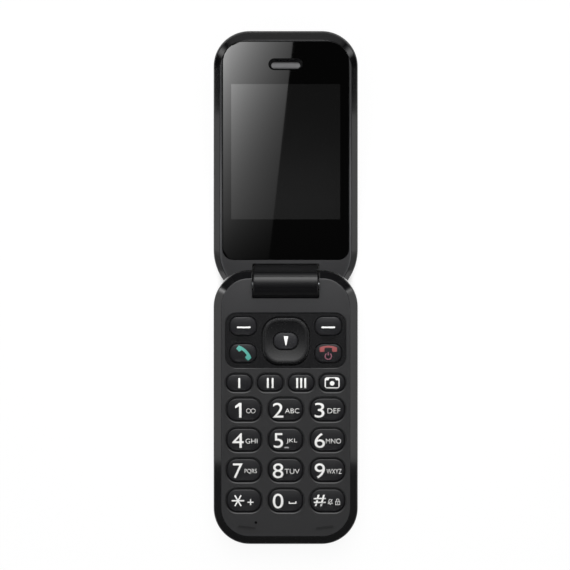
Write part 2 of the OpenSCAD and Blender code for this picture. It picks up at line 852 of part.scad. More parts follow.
module keypad_mat() {
    color("#8a8d90") on_base() difference() {
        translate([0, 0, mat_z + eps]) linear_extrude(mat_t - eps) mat_outline();
        at_switches() translate([0, 0, mat_z - over])
            cylinder(r = dome_r + dome_clear, h = dome_h + fit + over);
    }
}

// The panel that holds the rocker, menu and call keys, with fine grooves between the menu and call keys
module navigation_panel() {
    groove_row = (menu_row + call_row) / 2 - groove_shift;
    color("#1c1c1d") on_base() difference() {
        panel_prism(-fit, panel_z + eps, panel_z + panel_t);
        for (k = SIDE_KEYS) key_opening(k, key_clear, panel_z - over, face_z);
        rocker_opening(key_clear, panel_z - over, face_z);
        for (s = [-1, 1], i = [-1:1])
            bar(s * side_key_x, groove_row + i * groove_pitch, panel_z + panel_t - groove_depth,
                groove_l, groove_w, over);
    }
}

module loudspeaker() {
    cone_r = 3.6;
    cap_r = 1.4;
    cone_depth = 1.2;
    color("#3a3a3c") on_base() translate([speaker_x, -speaker_row, base_floor + eps]) difference() {
        slab(speaker_w, -speaker_l / 2, speaker_l / 2, speaker_t, speaker_r, speaker_r, 0, 0);
        translate([0, 0, -eps]) cylinder(r1 = cone_r, r2 = cap_r, h = cone_depth);
    }
}

module vibration_motor() {
    color("#a7a9ac") on_base() translate([motor_x, -motor_row, base_floor + eps])
        cylinder(r = motor_r, h = motor_t);
}

module microphone() {
    port_depth = 0.4;
    color("#b3b5b8") on_base() translate([mic_x, -mic_row, board_top + eps]) difference() {
        cylinder(r = mic_r, h = mic_t);
        translate([0, 0, mic_t - port_depth]) cylinder(r = mic_hole_r, h = over);
    }
}

module microphone_boot() {
    boot_r = 1.8;
    z = board_top + mic_t + 2 * eps;
    color("#202022") on_base() translate([mic_x, -mic_row, z]) difference() {
        cylinder(r = boot_r, h = cover_under - z - eps);
        translate([0, 0, -over]) cylinder(r = mic_hole_r, h = face_z);
    }
}

module charging_socket() {
    tongue = [6.7, 6, 0.7];
    tongue_set = 0.6;
    color("#9a9c9f") on_base() {
        difference() {
            socket_prism(0, socket_l);
            translate([0, -2 * socket_wall, 0]) socket_prism(-socket_wall, socket_l);
        }
        bar(0, base_reach - socket_set - socket_l / 2 - tongue_set, board_z - socket_h / 2 - tongue[2] / 2,
            tongue[0], tongue[1], tongue[2]);
    }
}

module lid_buffers() {
    color("#141416") on_base() at_buffers() translate([0, 0, face_z - buffer_sink + eps])
        linear_extrude(buffer_sink + buffer_rise) pill(buffer_l, buffer_w);
}

module screw(shank, r, cap_r, cap_t) {
    slot_w = 0.4;
    difference() {
        union() {
            translate([0, 0, -cap_t]) cylinder(r = cap_r, h = cap_t);
            translate([0, 0, -eps]) cylinder(r = r, h = shank);
        }
        for (a = [0, 90]) rotate(a) translate([-cap_r / 2, -slot_w / 2, -cap_t - over])
            cube([cap_r, slot_w, over + cap_t / 2]);
    }
}

module base_screws() {
    seat = door_t + head_t + fit;
    color("#8d8f92") on_base() at_screws() translate([0, 0, seat])
        screw(cover_under - seat - screw_tip, screw_r - eps, head_r, head_t);
}

// Hinge pieces that the keypad half holds

module hinge_rod(side) {
    from = notch_w / 2 + pin_hold;
    to = barrel_len / 2 - pin_engage;
    on_axis() translate([0, 0, side > 0 ? to : -from]) cylinder(r = pin_r, h = from - to);
}

module hinge_shaft() {
    color("#9fa2a5") hinge_rod(-1);
}

module hinge_pin() {
    color("#9fa2a5") hinge_rod(1);
}

// Keys

module key_cap(k) {
    color("#232325") on_base() translate([k[1], -k[2], 0]) {
        translate([0, 0, flange_z]) pillow(k[3], k[4], k[6] - flange_z, k[5]);
        translate([0, 0, flange_z]) linear_extrude(flange_t)
            rounded_rect(k[3] + 2 * flange_w, k[4] + 2 * flange_w, k[5] + flange_w);
        translate([-pusher_w / 2, -pusher_l / 2, key_z]) cube([pusher_w, pusher_l, flange_z - key_z + eps]);
    }
}

module rocker_carrier() {
    hole_gap = 0.4;
    ridge_set = 1;
    hole_w = select_w + 2 * flange_w + 2 * hole_gap;
    hole_l = select_l + 2 * flange_w + 2 * hole_gap;
    color("#4a4c4e") on_base() translate([0, -rock_row, carrier_z]) {
        linear_extrude(carrier_t) difference() {
            rounded_rect(carrier_w, carrier_l, carrier_r);
            rounded_rect(hole_w, hole_l, select_r + flange_w + hole_gap);
        }
        for (s = [-1, 1]) {
            translate([s * (carrier_w - ridge_len - ridge_set) / 2, 0, carrier_t]) rotate([0, 90, 0])
                cylinder(r = ridge_r, h = ridge_len, center = true);
            translate([0, s * (carrier_l - ridge_len - ridge_set) / 2, 0]) rotate([90, 0, 0])
                cylinder(r = ridge_r, h = ridge_len, center = true);
        }
    }
}

module rocker_key() {
    top = face_z + key_rise;
    dish_corner = 0.15;
    in_w = rock_w - 2 * rock_rim;
    in_l = rock_l - 2 * rock_rim;
    in_r = rock_r - rock_rim;
    corner = norm([in_w / 2 - in_r, in_l / 2 - in_r]) + in_r;
    drop = rock_dish - dish_corner;
    ball_r = (corner * corner + drop * drop) / (2 * drop);
    color("#2a2a2c") on_base() translate([0, -rock_row, 0]) difference() {
        union() {
            translate([0, 0, rock_z])
                slab(rock_w, -rock_l / 2, rock_l / 2, top - rock_z, rock_r, rock_r, 0, rock_edge_r);
            translate([0, 0, rock_z]) linear_extrude(rock_flange_t)
                rounded_rect(rock_w + 2 * flange_w, rock_l + 2 * flange_w, rock_r + flange_w);
        }
        intersection() {
            translate([0, 0, top - rock_dish + ball_r]) sphere(ball_r);
            translate([0, 0, rock_z]) linear_extrude(big) rounded_rect(in_w, in_l, in_r);
        }
        translate([0, 0, rock_z - over]) linear_extrude(big)
            rounded_rect(select_w + 2 * key_clear, select_l + 2 * key_clear, select_r + key_clear);
    }
}

module select_key() {
    color("#2a2a2c") on_base() translate([0, -rock_row, key_z]) {
        pillow(select_w, select_l, select_top - key_z, select_r);
        linear_extrude(carrier_t)
            rounded_rect(select_w + 2 * flange_w, select_l + 2 * flange_w, select_r + flange_w);
    }
}

// Outer form of the display half: its face at height 0, its outer side below

module lid_form() {
    translate([0, 0, -lid_t])
        slab(body_w, heel_start - heel_r, lid_reach, lid_t, heel_r, tip_r, lid_back_r, 0, lid_bevel);
}

// The rounded end of the outer side, and the notch round the hinge barrel
module heel_cuts() {
    far = heel_r;
    turn_y = heel_end + heel_round_r;
    difference() {
        translate([0, 0, -lid_t]) across(body_w + 2 * over)
            polygon([[-far, heel_round_r], [-far, -over], [turn_y, -over], [turn_y, heel_round_r]]);
        translate([0, turn_y, -lid_t + heel_round_r]) rotate([0, 90, 0])
            cylinder(r = heel_round_r, h = body_w + 4 * over, center = true);
    }
    translate([-notch_w / 2, -far, -lid_t - over]) cube([notch_w, far + notch_far, lid_t + 2 * over]);
}

module lid_shell(z0, z1) {
    difference() {
        on_lid() difference() {
            intersection() {
                lid_form();
                translate([-big / 2, -big / 2, z0]) cube([big, big, z1 - z0]);
            }
            heel_cuts();
        }
        on_base() translate([0, 0, -big / 2]) linear_extrude(big) base_plan(nest_gap);
    }
}

module lid_cavity(z0, z1) {
    near = notch_far + floor_t;
    translate([0, 0, z0]) linear_extrude(z1 - z0)
        plate_outline(body_w - 2 * side_wall, near, lid_reach - side_wall, lid_corner_r, tip_r - side_wall);
}

module at_lid_screws() {
    for (sx = [-1, 1], row = lid_screw_rows) translate([sx * lid_screw_x, row, 0]) children();
}

module tongue_prism(grow) {
    translate([-tongue_w / 2 - grow, notch_far - over, -tongue_top - tongue_t - grow])
        cube([tongue_w + 2 * grow, tongue_l + over + grow, tongue_t + 2 * grow]);
}

module lens_prism(grow, z0, z1) {
    translate([0, 0, z0]) linear_extrude(z1 - z0)
        plate_outline(lens_w + 2 * grow, lens_near - grow, lens_far + grow, lens_near_r + grow,
                      lens_tip_r + grow);
}

module lcd_prism(grow, z0, z1) {
    translate([0, lcd_near + lcd_l / 2, z0]) linear_extrude(z1 - z0)
        square([lcd_w + 2 * grow, lcd_l + 2 * grow], center = true);
}

module lid_frame() {
    color("#3e3e3e") difference() {
        lid_shell(-lid_split, over);
        on_lid() {
            lens_prism(fit, -lens_floor, over);
            lid_cavity(-lid_split - over, -frame_under);
            lcd_prism(2 * fit, -lid_t, 0);
            translate([0, ear_row + ear_hole_row, -lid_t]) linear_extrude(lid_t)
                pill(ear_duct_w, ear_duct_h);
            at_lid_screws() translate([0, 0, -lid_t]) cylinder(r = screw_r + screw_play, h = lid_t);
            at_lid_screws() translate([0, 0, -lens_floor - lid_head_seat])
                cylinder(r = head_r + fit, h = over);
            tongue_prism(fit);
        }
    }
}

module lid_cover() {
    color("#2c2c2e") difference() {
        union() {
            difference() {
                lid_shell(-lid_t - over, -lid_split - seam);
                on_lid() lid_cavity(-cover_in, 0);
            }
            on_lid() at_lid_screws() translate([0, 0, -cover_in - eps])
                cylinder(r = post_r, h = cover_in - frame_under - seam);
        }
        on_lid() {
            at_lid_screws() translate([0, 0, -cover_in]) cylinder(r = screw_r, h = lid_t);
            translate([0, camera_row, -lid_t - over]) cylinder(r = camera_hole_r, h = lid_t);
            translate([0, camera_row, -lid_t - over])
                cylinder(r = camera_win_r + fit, h = camera_win_t + over + seam);
            tongue_prism(fit);
        }
    }
}

// Display half: inside

module display_lens() {
    color("#0b0b0c") on_lid() difference() {
        translate([0, 0, -lens_inset - lens_t])
            slab(lens_w, lens_near, lens_far, lens_t, lens_near_r, lens_tip_r, 0, lens_edge_r);
        translate([0, ear_row, -2 * lens_t]) linear_extrude(3 * lens_t) pill(ear_w, ear_h);
    }
}

module display_panel() {
    color("#16181a") on_lid() lcd_prism(0, -lcd_top - lcd_t, -lcd_top);
}

module display_tray() {
    color("#a9abae") on_lid() difference() {
        lcd_prism(tray_lip, -tray_z - tray_t, -frame_under - seam);
        lcd_prism(fit, -tray_z, 0);
    }
}

module lid_board() {
    color("#1f5a3c") on_lid() lcd_prism(-lid_board_inset, -lid_board_z - board_t, -lid_board_z);
}

// A raised bar on a plate, with the sound holes in a row beside it
module earpiece_grille() {
    hole_r = 0.35;
    count = 7;
    pitch = 1.3;
    color("#77797c") on_lid() translate([0, ear_row, -lens_floor + eps]) difference() {
        union() {
            linear_extrude(ear_plate_t) pill(ear_w - 2 * fit, ear_plate_h);
            translate([0, -ear_bar_low, 0]) linear_extrude(ear_plate_t + ear_bar_rise)
                pill(ear_bar_w, ear_bar_h);
        }
        for (i = [0:count - 1]) translate([(i - (count - 1) / 2) * pitch, ear_hole_row, -over])
            cylinder(r = hole_r, h = 3 * over);
    }
}

module earpiece_receiver() {
    color("#55585b") on_lid() translate([0, ear_row, -frame_under - eps - receiver_t])
        slab(receiver_w, -receiver_l / 2, receiver_l / 2, receiver_t, receiver_r, receiver_r, 0.3, 0);
}

module camera_module() {
    depth = cover_in - frame_under - 2 * seam;
    barrel = 2.9;
    barrel_h = 1;
    color("#1b1b1d") on_lid() translate([0, camera_row, -frame_under - seam]) {
        translate([-camera_w / 2, -camera_w / 2, -depth + barrel_h])
            cube([camera_w, camera_w, depth - barrel_h]);
        translate([0, 0, -depth]) cylinder(r = barrel, h = barrel_h + eps);
    }
}

module camera_window() {
    rim = 0.5;
    sink = 0.15;
    color("#0a0a0c") on_lid() translate([0, camera_row, -lid_t]) rotate_extrude()
        polygon([[0, sink], [camera_win_r - rim, sink], [camera_win_r - rim, 0],
                 [camera_win_r, 0], [camera_win_r, camera_win_t], [0, camera_win_t]]);
}

module lid_magnet() {
    size = [5, 2, 1.4];
    color("#c4c6c8") on_lid() translate([magnet_x - size[0] / 2, ear_row, -frame_under - eps - size[2]])
        cube(size);
}

module lid_screws() {
    shank = cover_in - lens_floor - lid_head_seat - screw_tip;
    color("#8d8f92") on_lid() at_lid_screws() translate([0, 0, -lens_floor - lid_head_seat])
        rotate([180, 0, 0]) screw(shank, screw_r - eps, head_r, lid_head_t);
}

// Hinge pieces that the display half holds

module barrel_section(bore_r) {
    translate([bore_r, 0]) square([barrel_r - barrel_edge_r - bore_r, barrel_len]);
    translate([bore_r, barrel_edge_r]) square([barrel_r - bore_r, barrel_len - 2 * barrel_edge_r]);
    for (z = [barrel_edge_r, barrel_len - barrel_edge_r])
        translate([barrel_r - barrel_edge_r, z]) circle(barrel_edge_r);
}

module hinge_barrel() {
    web_w = barrel_len - 2 * barrel_edge_r;
    web_far = notch_far - fit;
    web_low = lid_t - web_rise;
    web_near = 4.4;
    web_slope = 2;
    color("#1d1d1f") on_lid() difference() {
        union() {
            translate([0, 0, lid_drop]) rotate([0, 90, 0]) translate([0, 0, -barrel_len / 2])
                rotate_extrude() barrel_section(0);
            across(web_w) polygon([[0, 0], [web_far, -web_top], [web_far, -web_low],
                                   [web_near, -web_low + web_slope], [0, lid_drop - barrel_r]]);
            translate([-tongue_w / 2, notch_far - over / 2, -tongue_top - tongue_t])
                cube([tongue_w, tongue_l + over / 2, tongue_t]);
        }
        translate([0, 0, lid_drop]) rotate([0, 90, 0])
            for (s = [0, 1]) mirror([0, 0, s]) translate([0, 0, barrel_mid])
                cylinder(r = bush_r + bush_fit, h = barrel_len);
    }
}

module bearing_tube(len) {
    difference() {
        cylinder(r = bush_r, h = len);
        translate([0, 0, -over]) cylinder(r = pin_r + pin_clear, h = len + 2 * over);
    }
}

module hinge_cartridge() {
    len = barrel_len / 2 - barrel_mid - 2 * bush_set;
    color("#b4b6b9") on_axis() translate([0, 0, -barrel_len / 2 + bush_set]) bearing_tube(len);
}

module hinge_bush() {
    color("#c7b58a") on_axis() translate([0, 0, barrel_len / 2 - bush_set - bush_len])
        bearing_tube(bush_len);
}

base_front_cover();
base_back_cover();
battery_cover();
battery();
main_board();
board_shield();
sim_holder();
battery_contacts();
dome_sheet();
keypad_mat();
navigation_panel();
loudspeaker();
vibration_motor();
microphone();
microphone_boot();
charging_socket();
lid_buffers();
base_screws();
hinge_shaft();
hinge_pin();
rocker_carrier();
rocker_key();
select_key();
for (k = KEYS)
    key_cap(k);
lid_frame();
lid_cover();
display_lens();
display_panel();
display_tray();
lid_board();
earpiece_grille();
earpiece_receiver();
camera_module();
camera_window();
lid_magnet();
lid_screws();
hinge_barrel();
hinge_cartridge();
hinge_bush();
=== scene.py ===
"""Flip phone: finishes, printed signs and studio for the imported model, laid out as a Blender add-on."""
import math

import bpy
from mathutils import Matrix, Vector


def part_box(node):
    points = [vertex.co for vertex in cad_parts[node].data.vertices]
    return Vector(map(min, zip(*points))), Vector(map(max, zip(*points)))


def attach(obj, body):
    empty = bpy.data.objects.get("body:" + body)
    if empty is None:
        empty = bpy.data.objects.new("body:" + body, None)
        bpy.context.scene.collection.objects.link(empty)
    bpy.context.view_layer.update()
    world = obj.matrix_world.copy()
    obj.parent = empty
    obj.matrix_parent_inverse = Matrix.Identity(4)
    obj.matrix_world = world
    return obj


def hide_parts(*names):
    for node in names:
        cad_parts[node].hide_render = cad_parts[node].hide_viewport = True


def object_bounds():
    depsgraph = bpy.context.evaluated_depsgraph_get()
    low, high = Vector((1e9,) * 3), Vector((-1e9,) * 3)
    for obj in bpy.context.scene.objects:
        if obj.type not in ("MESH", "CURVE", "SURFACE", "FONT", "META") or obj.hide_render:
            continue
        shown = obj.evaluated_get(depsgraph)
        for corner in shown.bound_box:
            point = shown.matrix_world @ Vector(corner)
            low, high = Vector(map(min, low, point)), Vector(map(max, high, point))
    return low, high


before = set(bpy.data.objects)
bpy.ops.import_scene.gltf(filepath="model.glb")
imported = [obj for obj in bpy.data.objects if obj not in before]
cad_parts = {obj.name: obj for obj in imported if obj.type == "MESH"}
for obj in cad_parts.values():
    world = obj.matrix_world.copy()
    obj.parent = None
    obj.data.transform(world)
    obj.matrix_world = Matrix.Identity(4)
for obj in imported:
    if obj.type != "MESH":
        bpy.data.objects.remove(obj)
CAD_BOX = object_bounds()

bl_info = {
    "name": "Flip phone",
    "version": (1, 0, 0),
    "blender": (4, 5, 0),
    "location": "3D View > Sidebar > Phone",
    "description": "Finishes, printed signs and studio for an open flip phone",
    "category": "Object",
}

MM = 0.001


# Places in the frame

def middle(node):
    """The middle of a CAD node's box."""
    low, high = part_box(node)
    return (Vector(low) + Vector(high)) / 2


HINGE = Vector((0, middle("hinge_pin").y, middle("hinge_pin").z))
LID_TILT = math.radians(16)
LID_TURN = Matrix.Rotation(LID_TILT, 3, "X")
LID_ALONG = LID_TURN @ Vector((0, 1, 0))
LID_UP = LID_TURN @ Vector((0, 0, 1))
# How far the display face lies below the hinge axis
LID_DROP = 2.6 * MM
# Hinge axis to the middle of the earpiece, and how far its silver bar lies below that middle
EAR_ROW = 88.55 * MM
BAR_LOW = 0.6 * MM
# Hinge axis to the middle of each half, and half of the width that both share
BASE_MIDDLE = -47.65 * MM
LID_MIDDLE = 45.85 * MM
HALF_WIDTH = 28 * MM
# The outline of each half: half its length, its corner radii towards the viewer and away, the width of its
# bevel, and how far inside the outline a painted highlight line runs and how strongly that shows
BASE_FORM = {"half_length": 53.05 * MM, "front_r": 14 * MM, "rear_r": 13.8 * MM, "bevel": 3 * MM,
             "line": 3 * MM, "highlight_strength": 0.1}
LID_FORM = {"half_length": 54.75 * MM, "front_r": 21.5 * MM, "rear_r": 14 * MM, "bevel": 2.4 * MM,
            "line": 2.75 * MM, "highlight_strength": 0.33}
# Vertices closer than this become one, and edges flatter than this are shaded smooth
WELD = 0.001 * MM
SMOOTH_ANGLE = math.radians(40)


def lid_point(x, reach, height):
    """A point of the display half: across, along from the hinge axis, and above the display face."""
    return HINGE + LID_TURN @ Vector((x, reach, height - LID_DROP))


# Sizes and colours that a user would change

def length(name, description, millimetres):
    """A length property, given in millimetres."""
    return bpy.props.FloatProperty(name=name, description=description, default=millimetres * MM,
                                   min=0.0, precision=5, unit="LENGTH")


def colour(name, description, value):
    """A colour property, as an sRGB hex value."""
    return bpy.props.StringProperty(name=name, description=description, default=value, maxlen=7)


def level(name, description, value):
    """A brightness property."""
    return bpy.props.FloatProperty(name=name, description=description, default=value, min=0.0)


class PhoneSizes(bpy.types.PropertyGroup):
    """Sizes of what is printed on the phone."""
    digit_height: length("Digit height", "Height of the large digits", 5.75)
    letter_height: length("Letter height", "Height of the small letters", 1.9)
    print_height: length("Print height", "How far the printed signs stand above the caps", 0.04)
    print_sink: length("Print sink", "How far the printed signs reach into the caps", 0.02)
    print_cut: length("Print cut", "Spacing of the cuts that let a sign follow the crown of its cap", 0.6)
    window_width: length("Window width", "Width of the clear window in the display lens", 42.4)
    window_near: length("Window near edge", "Hinge axis to the near edge of the window", 25.8)
    window_far: length("Window far edge", "Hinge axis to the far edge of the window", 80.5)


class PhoneColours(bpy.types.PropertyGroup):
    """Colours of the phone's finishes."""
    face: colour("Case face", "Satin face of both halves", "#222223")
    bevel: colour("Case bevel", "Polished bevel round both faces", "#0a0a0b")
    back: colour("Case back", "Outer shells", "#242426")
    panel: colour("Navigation panel", "Panel round the rocker key", "#121213")
    rocker: colour("Rocker", "Lacquered rocker round the select key", "#0d0d0e")
    select: colour("Select key", "Lacquered select key", "#202022")
    cap: colour("Key caps", "Lacquered key caps", "#171719")
    barrel: colour("Hinge barrel", "Polished hinge barrel", "#0b0b0c")
    lens: colour("Lens border", "Printed border of the display lens", "#010101")
    window: colour("Display window", "Dark display behind the lens", "#0c0c0c")
    ink: colour("White print", "Digits, letters and signs", "#dadad8")
    call: colour("Call print", "Handset that takes a call", "#438e83")
    end: colour("End print", "Handset that ends a call", "#803c3d")
    power: colour("Power print", "Power sign under the end handset", "#7b4b58")


class StageSettings(bpy.types.PropertyGroup):
    """The studio round the phone."""
    frame_height: length("Frame height", "Height of what the camera takes in", 221.7)
    floor_colour: colour("Floor", "Pale floor", "#fafafa")
    fill_level: level("Fill", "Brightness of the wide overhead light", 3.2)
    near_level: level("Near light", "Brightness of the small light over the hinge", 6.4)
    key_level: level("Key", "Brightness of the soft light behind the lid", 3.2)
    rim_level: level("Rim", "Brightness of the cards that the upper corners mirror", 4.8)
    glare_level: level("Glare", "Brightness of the card that the lens mirrors", 6.8)


# Nodes and materials

def linear(value):
    """An sRGB hex value as a linear colour."""
    parts = [int(value[i:i + 2], 16) / 255 for i in (1, 3, 5)]
    return [c / 12.92 if c <= 0.04045 else ((c + 0.055) / 1.055) ** 2.4 for c in parts] + [1.0]


def shade(value, factor):
    """An sRGB hex value as a linear colour, made darker or lighter."""
    return [c * factor for c in linear(value)[:3]] + [1.0]


def feed(tree, node, inputs):
    """Sets a node's inputs, by name or in order, to values, sockets or the first active outputs of nodes."""
    for name, value in inputs.items() if isinstance(inputs, dict) else enumerate(inputs):
        if isinstance(value, bpy.types.Node):
            value = next(socket for socket in value.outputs if socket.enabled)
        if isinstance(value, bpy.types.NodeSocket):
            tree.links.new(value, node.inputs[name])
        else:
            node.inputs[name].default_value = value


def add(tree, kind, inputs=(), **settings):
    """Adds a shader node, by the name of its kind, with its settings and inputs."""
    node = tree.nodes.new("ShaderNode" + kind)
    for name, value in settings.items():
        setattr(node, name, value)
    feed(tree, node, inputs)
    return node


def start_material(name, **sockets):
    """A new material: itself, its tree, its shader with constants set on it, and the object coordinates."""
    material = bpy.data.materials.new(name)
    material.use_nodes = True
    tree = material.node_tree
    shader = tree.nodes["Principled BSDF"]
    feed(tree, shader, {socket.replace("_", " "): value for socket, value in sockets.items()})
    return material, tree, shader, add(tree, "TexCoord").outputs["Object"]


def mottled(tree, place, dark, light, patch):
    """A colour that drifts between two shades over patches of a given size."""
    cloud = add(tree, "TexNoise", {"Vector": place, "Scale": 1 / patch, "Detail": 3.0})
    return add(tree, "Mix", {"Factor": cloud, "A": dark, "B": light}, data_type="RGBA")


def drifting(tree, place, patch, low, high, detail=2.0):
    """A value that drifts between two limits over patches of a given size, and the pattern behind it."""
    pattern = add(tree, "TexNoise", {"Vector": place, "Scale": 1 / patch, "Detail": detail})
    value = add(tree, "MapRange", {"Value": pattern, "From Min": 0.3, "From Max": 0.7,
                                   "To Min": low, "To Max": high})
    return value, pattern


def grained(tree, place, grain, depth, low, high, detail=2.0):
    """A grain of a given size and depth: its gloss between two limits, its relief and its pattern."""
    gloss, pattern = drifting(tree, place, grain, low, high, detail)
    return gloss, add(tree, "Bump", {"Height": pattern, "Distance": depth, "Strength": 1.0}), pattern


def moulded(name, value, roughness, grain, depth, patch=9 * MM, **sockets):
    """A moulded or lacquered plastic: a grain of its own, gloss that varies with it, and a faint drift."""
    material, tree, shader, place = start_material(name, **sockets)
    gloss, relief, _ = grained(tree, place, grain, depth, roughness * 0.9, roughness * 1.1)
    tone = mottled(tree, place, shade(value, 0.92), shade(value, 1.08), patch)
    feed(tree, shader, {"Base Color": tone, "Roughness": gloss, "Normal": relief})
    return material


def dished_lacquer(name, value, roughness, centre, half_length, depth, **sockets):
    """A glossy lacquer over a dish, whose curve is drawn as if it rose from a further middle."""
    material, tree, shader, place = start_material(name, **sockets)
    offset = add(tree, "VectorMath", [place, centre], operation="SUBTRACT")
    along = add(tree, "SeparateXYZ", [offset]).outputs["Y"]
    share = add(tree, "Math", [along, half_length], operation="DIVIDE")
    rise = add(tree, "Math", [share, share], operation="MULTIPLY")
    curve = add(tree, "Bump", {"Height": rise, "Distance": depth, "Strength": 1.0})
    gloss, _ = drifting(tree, place, 2 * MM, roughness * 0.9, roughness * 1.1)
    tone = mottled(tree, place, shade(value, 0.92), shade(value, 1.08), patch=6 * MM)
    feed(tree, shader, {"Base Color": tone, "Roughness": gloss, "Normal": curve})
    return material


def worked_metal(name, value, roughness, lay, depth):
    """A metal with the marks of its making: lay gives their size along each axis."""
    material, tree, shader, place = start_material(name, Metallic=1.0)
    marks = add(tree, "Mapping", {"Vector": place, "Scale": [1 / size for size in lay]})
    gloss, relief, lines = grained(tree, marks, 1.0, depth, roughness * 0.8, roughness * 1.2, detail=3.0)
    tone = add(tree, "Mix", {"Factor": lines, "A": shade(value, 0.85), "B": shade(value, 1.1)},
               data_type="RGBA")
    feed(tree, shader, {"Base Color": tone, "Roughness": gloss, "Normal": relief})
    return material


def edge_distance(tree, place, half_length, front_r, rear_r):
    """How far a point lies outside the rounded outline of a half, in its own plane (negative inside)."""
    flat = add(tree, "VectorMath", [place, (1.0, 1.0, 0.0)], operation="MULTIPLY")
    along = add(tree, "SeparateXYZ", [flat]).outputs["Y"]
    in_rear = add(tree, "Math", [along, 0.0], operation="GREATER_THAN")
    radius = add(tree, "MapRange", {"Value": in_rear, "To Min": front_r, "To Max": rear_r})
    corner = add(tree, "CombineXYZ", {"X": radius, "Y": radius})
    folded = add(tree, "VectorMath", [flat], operation="ABSOLUTE")
    inside = add(tree, "VectorMath", [folded, (HALF_WIDTH, half_length, 0.0)], operation="SUBTRACT")
    reach = add(tree, "VectorMath", [inside, corner], operation="ADD")
    outer = add(tree, "VectorMath", [reach, (0.0, 0.0, 0.0)], operation="MAXIMUM")
    span = add(tree, "VectorMath", [outer], operation="LENGTH")
    return add(tree, "Math", [span, radius], operation="SUBTRACT")


def bevelled_case(name, colours, centre, turn, half_length, front_r, rear_r, bevel, line, highlight_strength):
    """Moulded ABS: a fine satin face, a polished bevel that mirrors the studio, and dull side walls."""
    wall, blend = 0.3 * MM, 0.12 * MM
    flank_gloss, bevel_gloss, wall_gloss = 0.3, 0.11, 0.55
    flattening = 0.4
    # The paler colour of the painted highlight line inside the bevel
    highlight_tone = linear("#4a4a4c")
    material, tree, shader, place = start_material(name, IOR=1.52)
    laid = add(tree, "Mapping", {"Vector": place, "Location": centre, "Rotation": (turn, 0.0, 0.0)},
               vector_type="TEXTURE")
    edge = edge_distance(tree, laid, half_length, front_r, rear_r)
    on_bevel, on_wall = [
        add(tree, "MapRange", {"Value": edge, "From Min": -at - blend, "From Max": -at + blend})
        for at in (bevel, wall)]
    # The spark-eroded grain is 0.05 mm in the real mould; it is drawn at 0.3 mm so that it shows.
    satin, relief, _ = grained(tree, place, 0.3 * MM, 0.004 * MM, low=0.46, high=0.54)
    # The flanks of the key wells are polished and run into the face: they are shaded a little flatter.
    smooth = add(tree, "NewGeometry").outputs["Normal"]
    up = (0.0, -math.sin(turn), math.cos(turn))
    facing = add(tree, "VectorMath", [smooth, up], operation="DOT_PRODUCT")
    on_flank = add(tree, "MapRange", {"Value": facing, "From Min": 0.8, "From Max": 0.95,
                                      "To Min": 1.0, "To Max": 0.0})
    flatter = add(tree, "Mix", {"Factor": flattening, "A": smooth, "B": up}, data_type="VECTOR")
    run_in = add(tree, "VectorMath", [flatter], operation="NORMALIZE")
    face_relief = add(tree, "Mix", {"Factor": on_flank, "A": relief, "B": run_in}, data_type="VECTOR")
    all_relief = add(tree, "Mix", {"Factor": on_bevel, "A": face_relief, "B": smooth}, data_type="VECTOR")
    face_gloss = add(tree, "Mix", {"Factor": on_flank, "A": satin, "B": flank_gloss})
    rim_gloss = add(tree, "Mix", {"Factor": on_wall, "A": bevel_gloss, "B": wall_gloss})
    gloss = add(tree, "Mix", {"Factor": on_bevel, "A": face_gloss, "B": rim_gloss})
    # Along a thin line on the land inside the bevel the colour is made paler: a painted highlight, standing
    # in for the light that a rounded edge catches.
    off_line = add(tree, "Math", [edge, line], operation="ADD")
    from_line = add(tree, "Math", [off_line], operation="ABSOLUTE")
    painted_highlight = add(tree, "MapRange", {"Value": from_line, "From Min": 0.1 * MM, "From Max": 0.3 * MM,
                                     "To Min": highlight_strength, "To Max": 0.0})
    face_tone = mottled(tree, place, shade(colours.face, 0.95), shade(colours.face, 1.05), patch=12 * MM)
    rim_tone = add(tree, "Mix", {"Factor": on_bevel, "A": face_tone, "B": linear(colours.bevel)},
                   data_type="RGBA")
    tone = add(tree, "Mix", {"Factor": painted_highlight, "A": rim_tone, "B": highlight_tone}, data_type="RGBA")
    feed(tree, shader, {"Base Color": tone, "Roughness": gloss, "Normal": all_relief})
    return material


def circuit_board(name):
    """Glass-fibre board under green solder mask: thin copper tracks show through as paler lines."""
    material, tree, shader, place = start_material(name, IOR=1.5)
    tracks = add(tree, "TexBrick", {
        "Vector": place, "Color1": linear("#1c4f36"), "Color2": linear("#205a3d"),
        "Mortar": linear("#3c7d55"), "Scale": 1.0, "Mortar Size": 0.12 * MM, "Brick Width": 2.4 * MM,
        "Row Height": 0.8 * MM})
    gloss, relief, _ = grained(tree, place, 0.4 * MM, 0.01 * MM, low=0.28, high=0.4)
    feed(tree, shader, {"Base Color": tracks, "Roughness": gloss, "Normal": relief})
    return material


